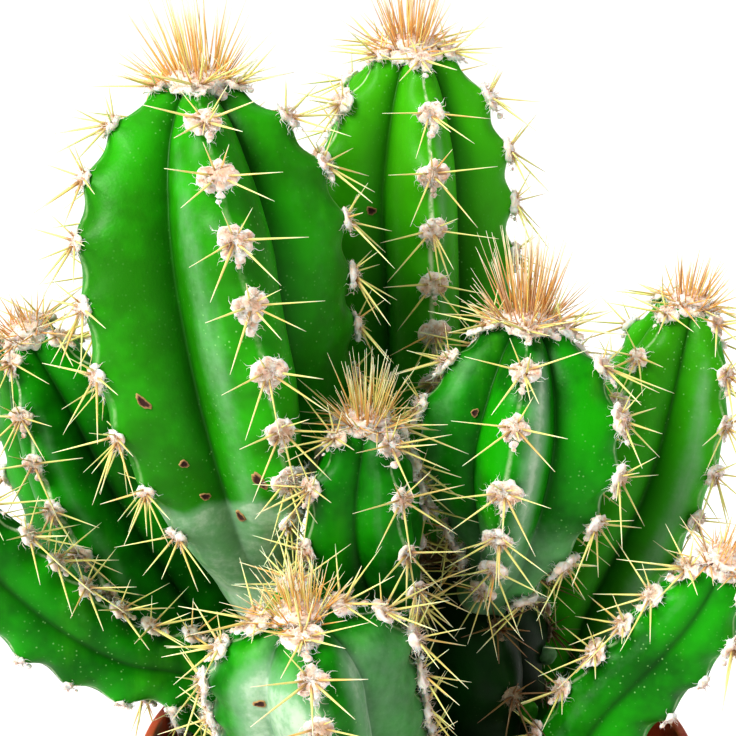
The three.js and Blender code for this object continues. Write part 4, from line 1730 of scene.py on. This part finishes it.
def wool_tree() -> Growth:
    """The tree that puts a lumpy cushion on every point and covers it with curled hairs.

    Returns:
        The tree.
    """
    sizes = {"Hairs": 0.8e6, "Hair length": 0.0017, "Hair girth": 0.05, "Flatness": 0.36,
             "Lumps": 0.0027, "Large from": 0.0034}
    tree = Growth("wool_growth", sizes)
    out, down = (tree.kept(name, "FLOAT_VECTOR") for name in ("out", "down"))
    size = tree.kept("size")
    aim = tree.node("FunctionNodeAlignRotationToVector", {"Vector": out}, axis="Z").outputs[0]
    scale = tree.sized(size, size, tree.times(size, tree.given["Flatness"]))
    large = tree.maths("GREATER_THAN", size, tree.given["Large from"])
    parted = {"Geometry": tree.given["Geometry"], "Selection": large}
    seeds = tree.node("GeometryNodeSeparateGeometry", parted)
    lobes = []
    for output, fineness in (("Selection", 3), ("Inverted", 2)):
        ball = {"Radius": 0.5, "Subdivisions": fineness}
        ball = tree.node("GeometryNodeMeshIcoSphere", ball).outputs[0]
        lobes.append(tree.placed(seeds.outputs[output], ball, aim, scale))
    cushions = tree.real(*lobes)
    normal = tree.node("GeometryNodeInputNormal").outputs[0]
    lumpy = tree.node("ShaderNodeTexNoise", {"Scale": 620.0, "Detail": 2.0}).outputs["Fac"]
    push = tree.times(tree.maths("SUBTRACT", lumpy, 0.45), tree.given["Lumps"])
    pushed = {"Geometry": cushions, "Offset": tree.scaled(normal, push)}
    cushions = tree.node("GeometryNodeSetPosition", pushed).outputs[0]
    facing = tree.node("ShaderNodeVectorMath", {0: normal, 1: out}, operation="DOT_PRODUCT")
    cushions = tree.keep(cushions, "core", tree.spread(facing.outputs["Value"], 0.62, 1.0))
    strewn = {"Mesh": cushions, "Density": tree.given["Hairs"], "Seed": 11}
    spots = tree.node("GeometryNodeDistributePointsOnFaces", strewn)
    coil = {"Resolution": 5, "Rotations": 0.8, "Start Radius": 0.05, "End Radius": 0.22,
            "Height": 1.0}
    curl = tree.node("GeometryNodeCurveSpiral", coil).outputs[0]
    taper = tree.maths("SUBTRACT", 1.1, tree.node("GeometryNodeSplineParameter").outputs[0])
    curl = tree.node("GeometryNodeSetCurveRadius", {"Curve": curl, "Radius": taper}).outputs[0]
    ring = {"Resolution": 3, "Radius": tree.given["Hair girth"]}
    ring = tree.node("GeometryNodeCurvePrimitiveCircle", ring).outputs[0]
    radius = tree.node("GeometryNodeInputRadius").outputs[0]
    swept = {"Curve": curl, "Profile Curve": ring, "Scale": radius}
    hair = tree.node("GeometryNodeCurveToMesh", swept).outputs[0]
    drooping = tree.vectors("ADD", spots.outputs["Normal"], tree.scaled(down, 0.35))
    turn = tree.aimed(tree.vectors("ADD", drooping, tree.random_vector(0.9, 5)), 7)
    long = tree.times(tree.given["Hair length"], tree.random(0.55, 1.25, 6))
    hairs = tree.placed(spots.outputs["Points"], hair, turn, tree.sized(long, long, long))
    tree.end(tree.real(cushions, hairs), AreoleWool())
    return tree


@dataclass(frozen=True)
class Scar:
    """A healed wound on a rib's flank. Lengths in millimetres, its turn in degrees."""

    stem: str
    share: float
    rib: int
    across: float
    length: float
    width: float
    turn: float = 0.0


SCARS = (
    Scar("tall_left", 0.585, 4, 0.40, 3.8, 1.9, 35),
    Scar("tall_left", 0.490, 4, 0.60, 2.0, 1.7, 60),
    Scar("tall_left", 0.434, 4, 0.70, 2.4, 1.6, 70),
    Scar("tall_left", 0.457, 0, -0.35, 4.8, 2.3, 25),
    Scar("tall_left", 0.393, 0, -0.80, 3.0, 2.0, 20),
    Scar("tall_back", 0.739, 4, 0.80, 2.6, 2.0, 60),
    Scar("middle_right", 0.773, 4, 0.85, 1.9, 1.5, 10),
    Scar("small_front", 0.848, 3, 0.90, 3.2, 1.6, 80),
)


@dataclass
class Scars:
    """Every scar, each a corky patch with a raised rim and a sunken middle."""

    stems: dict[str, Stem]
    rim: float = 0.26
    middle: float = 0.05
    root: float = -0.5
    rings: tuple[float, ...] = (1.0, 0.9, 0.78, 0.64, 0.48, 0.3, 0.14)
    sides: int = 28

    def height(self, out_share: float) -> float:
        """How far the patch stands out of the skin at a share out from its middle."""
        bowl = lerp(self.middle, self.rim, smoothstep(0.2, 0.75, out_share))
        return lerp(bowl, self.root, smoothstep(0.8, 1.0, out_share))

    def patch(self, scar: Scar) -> tuple[Array, Array]:
        """The corners of one patch and their shares out from its middle.

        Args:
            scar: The scar.

        Returns:
            The corners, and a share for each.
        """
        stem = self.stems[scar.stem]
        turn = math.radians(scar.turn)
        girth = math.pi / stem.plan.ribs * float(stem.crest_radius(np.array([scar.share]))[0])
        corners, shares = [], []
        for ring in (*self.rings, 0.0, 0.0):
            for angle in np.arange(self.sides if ring else 1) * 2 * math.pi / self.sides:
                wobble = 1 + 0.13 * math.sin(3 * angle + scar.share * 40) + 0.07 * math.sin(7 * angle)
                x = ring * wobble * scar.width / 2 * math.cos(angle)
                y = ring * wobble * scar.length / 2 * math.sin(angle)
                beside = x * math.cos(turn) - y * math.sin(turn)
                above = x * math.sin(turn) + y * math.cos(turn)
                share, across = scar.share + above / stem.length, scar.across + beside / girth
                place, normal, *_ = stem.spot(share, scar.rib, across)
                corners.append(place + normal * self.height(ring))
                shares.append(ring)
        corners[-2] = corners[-2] + normal * (self.root - self.middle)
        return np.array(corners), np.array(shares)

    def build(self) -> Piece:
        """Makes every patch, as one piece.

        Returns:
            The scars.
        """
        points, faces, shares = [], [], []
        rings = tube_faces(len(self.rings), self.sides)
        for scar in SCARS:
            corners, out = self.patch(scar)
            first = sum(len(part) for part in points)
            faces += [[first + corner for corner in ring] for ring in rings]
            points.append(corners)
            shares.append(out)
        piece = make_object("scars", np.vstack(points), faces)
        store(piece, "out_share", np.concatenate(shares))
        return piece


@dataclass(frozen=True)
class Bud:
    """A young offset on an old stem, with its radius in millimetres."""

    stem: str
    share: float
    rib: int
    across: float
    radius: float
    bloom_and_sheen: float


BUDS = (
    Bud("mother", 0.62, 1, -0.35, 1.9, 0.8),
    Bud("mother", 0.54, 0, 0.45, 2.2, 0.15),
)


@dataclass
class Buds:
    """The young offsets, small ribbed globes that grow out of a stem."""

    stems: dict[str, Stem]
    ribs: int = 5
    rib_depth: float = 0.14
    tallness: float = 1.15
    sides: int = 40
    rows: int = 16

    def globe(self, bud: Bud) -> Array:
        """The corners of one bud.

        Args:
            bud: The bud.

        Returns:
            The corners, one row each.
        """
        place, normal, up, beside = self.stems[bud.stem].spot(bud.share, bud.rib, bud.across)
        angles = np.linspace(-90, 90, self.rows)
        angles = np.radians(angles)
        profile = np.stack([np.cos(angles), np.sin(angles) * self.tallness], axis=-1)
        profile[0, 0] = profile[-1, 0] = 0
        corners, _ = turned(profile, self.sides)
        around = np.arctan2(corners[:, 1], corners[:, 0])
        corners[:, :2] *= (1 + self.rib_depth * np.cos(self.ribs * around))[:, None]
        axis = unit(normal + up * 0.9)
        side = unit(np.cross(axis, beside))
        frame = np.stack([side, np.cross(axis, side), axis])
        return place + normal * bud.radius * 0.5 + bud.radius * corners @ frame

    def build(self) -> Piece:
        """Makes every bud, as one piece.

        Returns:
            The buds.
        """
        globes = [self.globe(bud) for bud in BUDS]
        rings = tube_faces(self.rows - 2, self.sides)
        faces = [[number * len(globes[0]) + corner for corner in ring]
                 for number in range(len(globes)) for ring in rings]
        piece = make_object("buds", np.vstack(globes), faces)
        count = len(globes[0])
        store(piece, "bloom_and_sheen", np.repeat([bud.bloom_and_sheen for bud in BUDS], count))
        # The buds' own numbers, with their painted shade and painted light.
        for name, value in {"crest": 0.9, "crest_highlight": 0, "age": 0, "painted_shade": 0.2, "painted_light": 0.6}.items():
            store(piece, name, np.full(count * len(BUDS), value))
        return piece


# ---- what lies on the soil -----------------------------------------------------------------


def seeded_spread(seed: int) -> Iterator[float]:
    """Repeatable numbers from -1 to 1, the same as the construction model's.

    Args:
        seed: The first state.

    Yields:
        The numbers, without end.
    """
    state = seed
    while True:
        state = (state * 1664525 + 1013904223) % 4294967296
        yield state / 2147483648 - 1


@dataclass(frozen=True)
class Bits:
    """One kind of loose bits: their proportions, and from how small to how large they are."""

    seed: int
    count: int
    shape: Triple
    small: float
    large: float


@dataclass
class Litter:
    """Stones, grit, bark and crumbs on the soil. Sizes in millimetres."""

    soil: Soil
    rooted: list[Stem]
    stones: int = 22
    stone_radius: float = 1.9
    stone_spread: float = 0.6
    stone_reach: float = 0.9
    flatness: float = 0.65
    foot_clearance: float = 1.2
    seed: int = 41
    finish_seed: int = 61
    grit: Bits = Bits(62, 420, (1, 1, 0.75), 0.35, 1.3)
    crumbs: Bits = Bits(63, 2600, (1, 1, 0.75), 0.45, 1.9)
    chips: Bits = Bits(64, 90, (2.6, 1.1, 0.45), 0.9, 2.1)
    by_the_rim: tuple[Triple, ...] = (
        (36, 22, 2.5), (41, 24, 2.1), (45.5, 20.5, 2.7), (50, 18, 2.2), (-48, 24, 2.4))

    def distance(self, points: Array) -> Array:
        """How far points lie outside every stem that stands in the soil."""
        return np.min([stem.distance(points) for stem in self.rooted], axis=0)

    def on_soil(self, x: Any, y: Any) -> Array:
        """Places on the soil's surface over points."""
        return np.stack([x, y, self.soil.height(x, y)], axis=-1)

    def strewn_stones(self) -> Rows:
        """The stones that the construction model's soil carries, and a few more by the rim.

        Returns:
            Rows named place, size, aim and tone.
        """
        spread = seeded_spread(self.seed)
        brim = self.soil.pot.bore_radius(self.soil.level)
        rows = []
        while len(rows) < self.stones:
            reach = self.stone_reach * brim * math.sqrt(abs(next(spread)))
            angle = math.pi * next(spread)
            radius = self.stone_radius + self.stone_spread * next(spread)
            place = self.on_soil(reach * math.cos(angle), reach * math.sin(angle))
            roll, pitch, _ = math.pi * next(spread), 0.4 * next(spread), next(spread)
            if self.distance(place[None])[0] < radius + self.foot_clearance:
                continue
            aim = (math.sin(pitch), -math.sin(roll) * math.cos(pitch), math.cos(roll) * math.cos(pitch))
            rows.append((place, radius, aim))
        rows += [(self.on_soil(x, y), radius, (0.2, 0.1, 1)) for x, y, radius in self.by_the_rim]
        places, radii, aims = (np.array(column, float) for column in zip(*rows))
        draw = np.random.default_rng(self.finish_seed)
        size = radii[:, None] * np.array([1, 1, self.flatness])
        size = size * draw.uniform(0.94, 1.04, size.shape)
        return {"place": places, "size": size, "aim": aims, "tone": draw.random(len(radii))}

    def scattered(self, bits: Bits) -> Rows:
        """Bits spread evenly over the soil, clear of the stems.

        Args:
            bits: The kind of bits.

        Returns:
            Rows named place, size, aim and tone.
        """
        draw, count = np.random.default_rng(bits.seed), bits.count
        brim = self.soil.pot.bore_radius(self.soil.level) - bits.large * 0.8
        reach, angle = brim * np.sqrt(draw.random(count)), draw.uniform(0, 2 * math.pi, count)
        places = self.on_soil(reach * np.cos(angle), reach * np.sin(angle))
        places[:, 2] += self.soil.lumps(places[:, 0], places[:, 1])
        size = lerp(bits.small, bits.large, draw.random(count) ** 2.2)
        sizes = size[:, None] * np.array(bits.shape) * draw.uniform(0.75, 1.25, (count, 3))
        places[:, 2] += sizes[:, 2] * 0.25
        aims = np.column_stack([draw.normal(0, 0.35, (count, 2)), np.ones(count)])
        clear = self.distance(places) > size * 0.4
        rows = {"place": places, "size": sizes, "aim": aims, "tone": draw.random(count)}
        return {key: column[clear] for key, column in rows.items()}

    def grow(self, name: str, fineness: int, finish: Finish,
             rows: Rows) -> Piece:
        """Makes one kind of bits.

        Args:
            name: The piece's name.
            fineness: Subdivisions of each bit.
            finish: What the bits are made of.
            rows: Their places, sizes, directions and tones.

        Returns:
            The piece.
        """
        seeds = make_object("litter_places", rows["place"], [])
        store(seeds, "size", rows["size"] * MM)
        store(seeds, "aim", unit(rows["aim"]))
        store(seeds, "tone", rows["tone"])
        return lump_tree(f"{name}_growth", fineness, finish).grow(name, seeds, {"Unevenness": 0.5})

    def build(self) -> None:
        """Makes and settles everything that lies on the soil."""
        stones = self.grow("stones", 3, GritStone(), self.strewn_stones())
        settle(stones, GritStone(), "grit_stone")
        grit = self.grow("grit", 2, GritStone(), self.scattered(self.grit))
        settle(grit, GritStone(), "grit_stone")
        crumbs, chips = self.scattered(self.crumbs), self.scattered(self.chips)
        mixed = {key: np.concatenate([crumbs[key], chips[key]]) for key in crumbs}
        settle(self.grow("crumbs", 1, PottingMix(), mixed), PottingMix(), "potting_mix")


def lump_tree(name: str, subdivisions: int, finish: Finish) -> Growth:
    """The tree that puts an uneven lump on every point.

    Args:
        name: The tree's name.
        subdivisions: Subdivisions of each lump.
        finish: What the lumps are made of.

    Returns:
        The tree.
    """
    tree = Growth(name, {"Unevenness": 0.5})
    ball = {"Radius": 1.0, "Subdivisions": subdivisions}
    ball = tree.node("GeometryNodeMeshIcoSphere", ball).outputs[0]
    size = tree.kept("size", "FLOAT_VECTOR")
    rotation = tree.aimed(tree.kept("aim", "FLOAT_VECTOR"), 3)
    lumps = tree.placed(tree.given["Geometry"], ball, rotation, size)
    lumps = tree.real(lumps, smooth=subdivisions > 1)
    rough = tree.node("ShaderNodeTexNoise", {"Scale": 420.0, "Detail": 2.0}).outputs["Fac"]
    girth = tree.node("ShaderNodeVectorMath", {0: size}, operation="LENGTH").outputs["Value"]
    reach = tree.times(girth, tree.given["Unevenness"])
    push = tree.times(tree.maths("SUBTRACT", rough, 0.5), reach)
    offset = tree.scaled(tree.node("GeometryNodeInputNormal").outputs[0], push)
    lumps = tree.node("GeometryNodeSetPosition", {"Geometry": lumps, "Offset": offset}).outputs[0]
    tree.end(lumps, finish)
    return tree


# ---- studio ------------------------------------------------------------------------------


@dataclass(frozen=True)
class Camera:
    """The photograph's viewpoint. Places in millimetres, angles in degrees, clip in metres."""

    place: Triple = (-10.6, -372.2, 317.1)
    pitch: float = 18.5
    lens: float = 94.84
    sensor: float = 36.0
    clip: Pair = (0.01, 200.0)

    def set_up(self) -> None:
        """Makes the camera and hands it to the scene."""
        lens = bpy.data.cameras.new("camera")
        lens.lens, lens.sensor_width, lens.sensor_fit = self.lens, self.sensor, "HORIZONTAL"
        lens.clip_start, lens.clip_end = self.clip
        camera = link("camera", lens)
        camera.location = Vector(self.place) * MM
        camera.rotation_euler = (math.radians(90 - self.pitch), 0, 0)
        bpy.context.scene.camera = camera


@dataclass(frozen=True)
class SoftLight:
    """A soft round light that faces the plant. Places and sizes in metres, power in watts."""

    name: str
    place: Triple
    size: float
    power: float
    tint: Colour = (1.0, 1.0, 1.0)


@dataclass(frozen=True)
class Studio:
    """A pale floor under soft light. Sizes in metres, softness in degrees."""

    floor: float = 80.0
    middle: Triple = (0.0, 0.0, 0.17)
    key: float = 3.45
    key_from: Triple = (-0.72, -0.62, 0.86)
    key_softness: float = 26
    key_tint: Colour = (1.0, 0.985, 0.96)
    glow: float = 0.26
    lights: tuple[SoftLight, ...] = (
        SoftLight("window_left", (-1.2, -0.8, 1.1), 0.6, 6, (1.0, 0.99, 0.97)),
        SoftLight("window_right", (1.3, -0.5, 0.9), 0.6, 1.6),
        SoftLight("top", (0.1, 0.5, 1.5), 1.1, 6))

    def sunshine(self) -> None:
        """Adds the key light, a broad soft one that lights the far floor as brightly as the near."""
        lamp = bpy.data.lights.new("key", "SUN")
        lamp.energy, lamp.angle, lamp.color = self.key, math.radians(self.key_softness), self.key_tint
        holder = link("key", lamp)
        holder.rotation_euler = Vector(self.key_from).to_track_quat("Z", "Y").to_euler()

    def hang(self, light: SoftLight) -> None:
        """Adds a soft light that faces the plant.

        Args:
            light: The light.
        """
        lamp = bpy.data.lights.new(light.name, "AREA")
        lamp.shape, lamp.size, lamp.energy, lamp.color = "DISK", light.size, light.power, light.tint
        holder = link(light.name, lamp)
        holder.location = light.place
        aim = Vector(self.middle) - Vector(light.place)
        holder.rotation_euler = aim.to_track_quat("-Z", "Y").to_euler()

    def set_up(self) -> None:
        """Makes the floor, the lights and the surrounding glow."""
        half = self.floor / MM / 2
        corners = np.array([[-half, -half, 0], [half, -half, 0], [half, half, 0], [-half, half, 0]])
        floor = make_object("floor", corners, [[0, 1, 2, 3]])
        floor.data.materials.append(StudioPaper().material())
        self.sunshine()
        for light in self.lights:
            self.hang(light)
        world = bpy.data.worlds.new("studio")
        world.use_nodes = True
        wiring = Wiring(world.node_tree)
        seen = wiring.node("ShaderNodeLightPath").outputs["Is Camera Ray"]
        glow = world.node_tree.nodes["Background"]
        glow.inputs["Color"].default_value = (1, 1, 1, 1)
        wiring.feed(glow.inputs["Strength"], wiring.spread(seen, 0, 1, self.glow, 1))
        bpy.context.scene.world = world
        bpy.context.scene.view_settings.view_transform = "Standard"
        bpy.context.scene.view_settings.look = "Medium High Contrast"


# ---- the plant ---------------------------------------------------------------------------


class Plant:
    """The whole potted clump."""

    def __init__(self) -> None:
        """Plans the pot, the soil and the stems."""
        self.pot = Pot()
        self.soil = Soil(self.pot)
        self.stems = [Stem(plan, number) for number, plan in enumerate(STEM_PLANS)]

    def obstacles(self) -> BVHTree:
        """Every stem's body, coarsely, and the pot, for spines to keep clear of.

        Returns:
            A tree that rays are cast at.
        """
        points, faces = [], []
        shapes = [stem.body(COARSE_ROW_PITCH, COARSE_STEPS)[:2] for stem in self.stems]
        shapes.append(turned(self.pot.profile(), self.pot.sides // 3))
        for corners, rings in shapes:
            first = len(points)
            points.extend((corners * MM).tolist())
            faces.extend([[first + corner for corner in ring] for ring in rings])
        return BVHTree.FromPolygons(points, faces)

    def build(self) -> None:
        """Makes and settles every piece."""
        settle(self.pot.build(), PotPlastic(), "pot_plastic", "pot")
        settle(self.soil.build(), PottingMix(), "potting_mix", "soil")
        Litter(self.soil, [stem for stem in self.stems if stem.plan.seat is Seat.SOIL]).build()
        obstacles = self.obstacles()
        spines, wool = spine_tree(), wool_tree()
        for stem in self.stems:
            settle(stem.build_skin(), StemSkin(), "stem_skin", stem.piece_name)
            settle(Spines(stem, obstacles).build(spines), SpineHorn(), "spine_horn")
            settle(Wool(stem).build(wool), AreoleWool(), "areole_wool")
        named = {stem.plan.name: stem for stem in self.stems}
        settle(Scars(named).build(), Cork(), "stem_skin")
        settle(Buds(named).build(), StemSkin(), "stem_skin")


def main() -> None:
    """Builds the studio and the plant."""
    logging.basicConfig(level=logging.INFO, format="%(message)s")
    Camera().set_up()
    Studio().set_up()
    Plant().build()


if __name__ == "__main__":
    main()
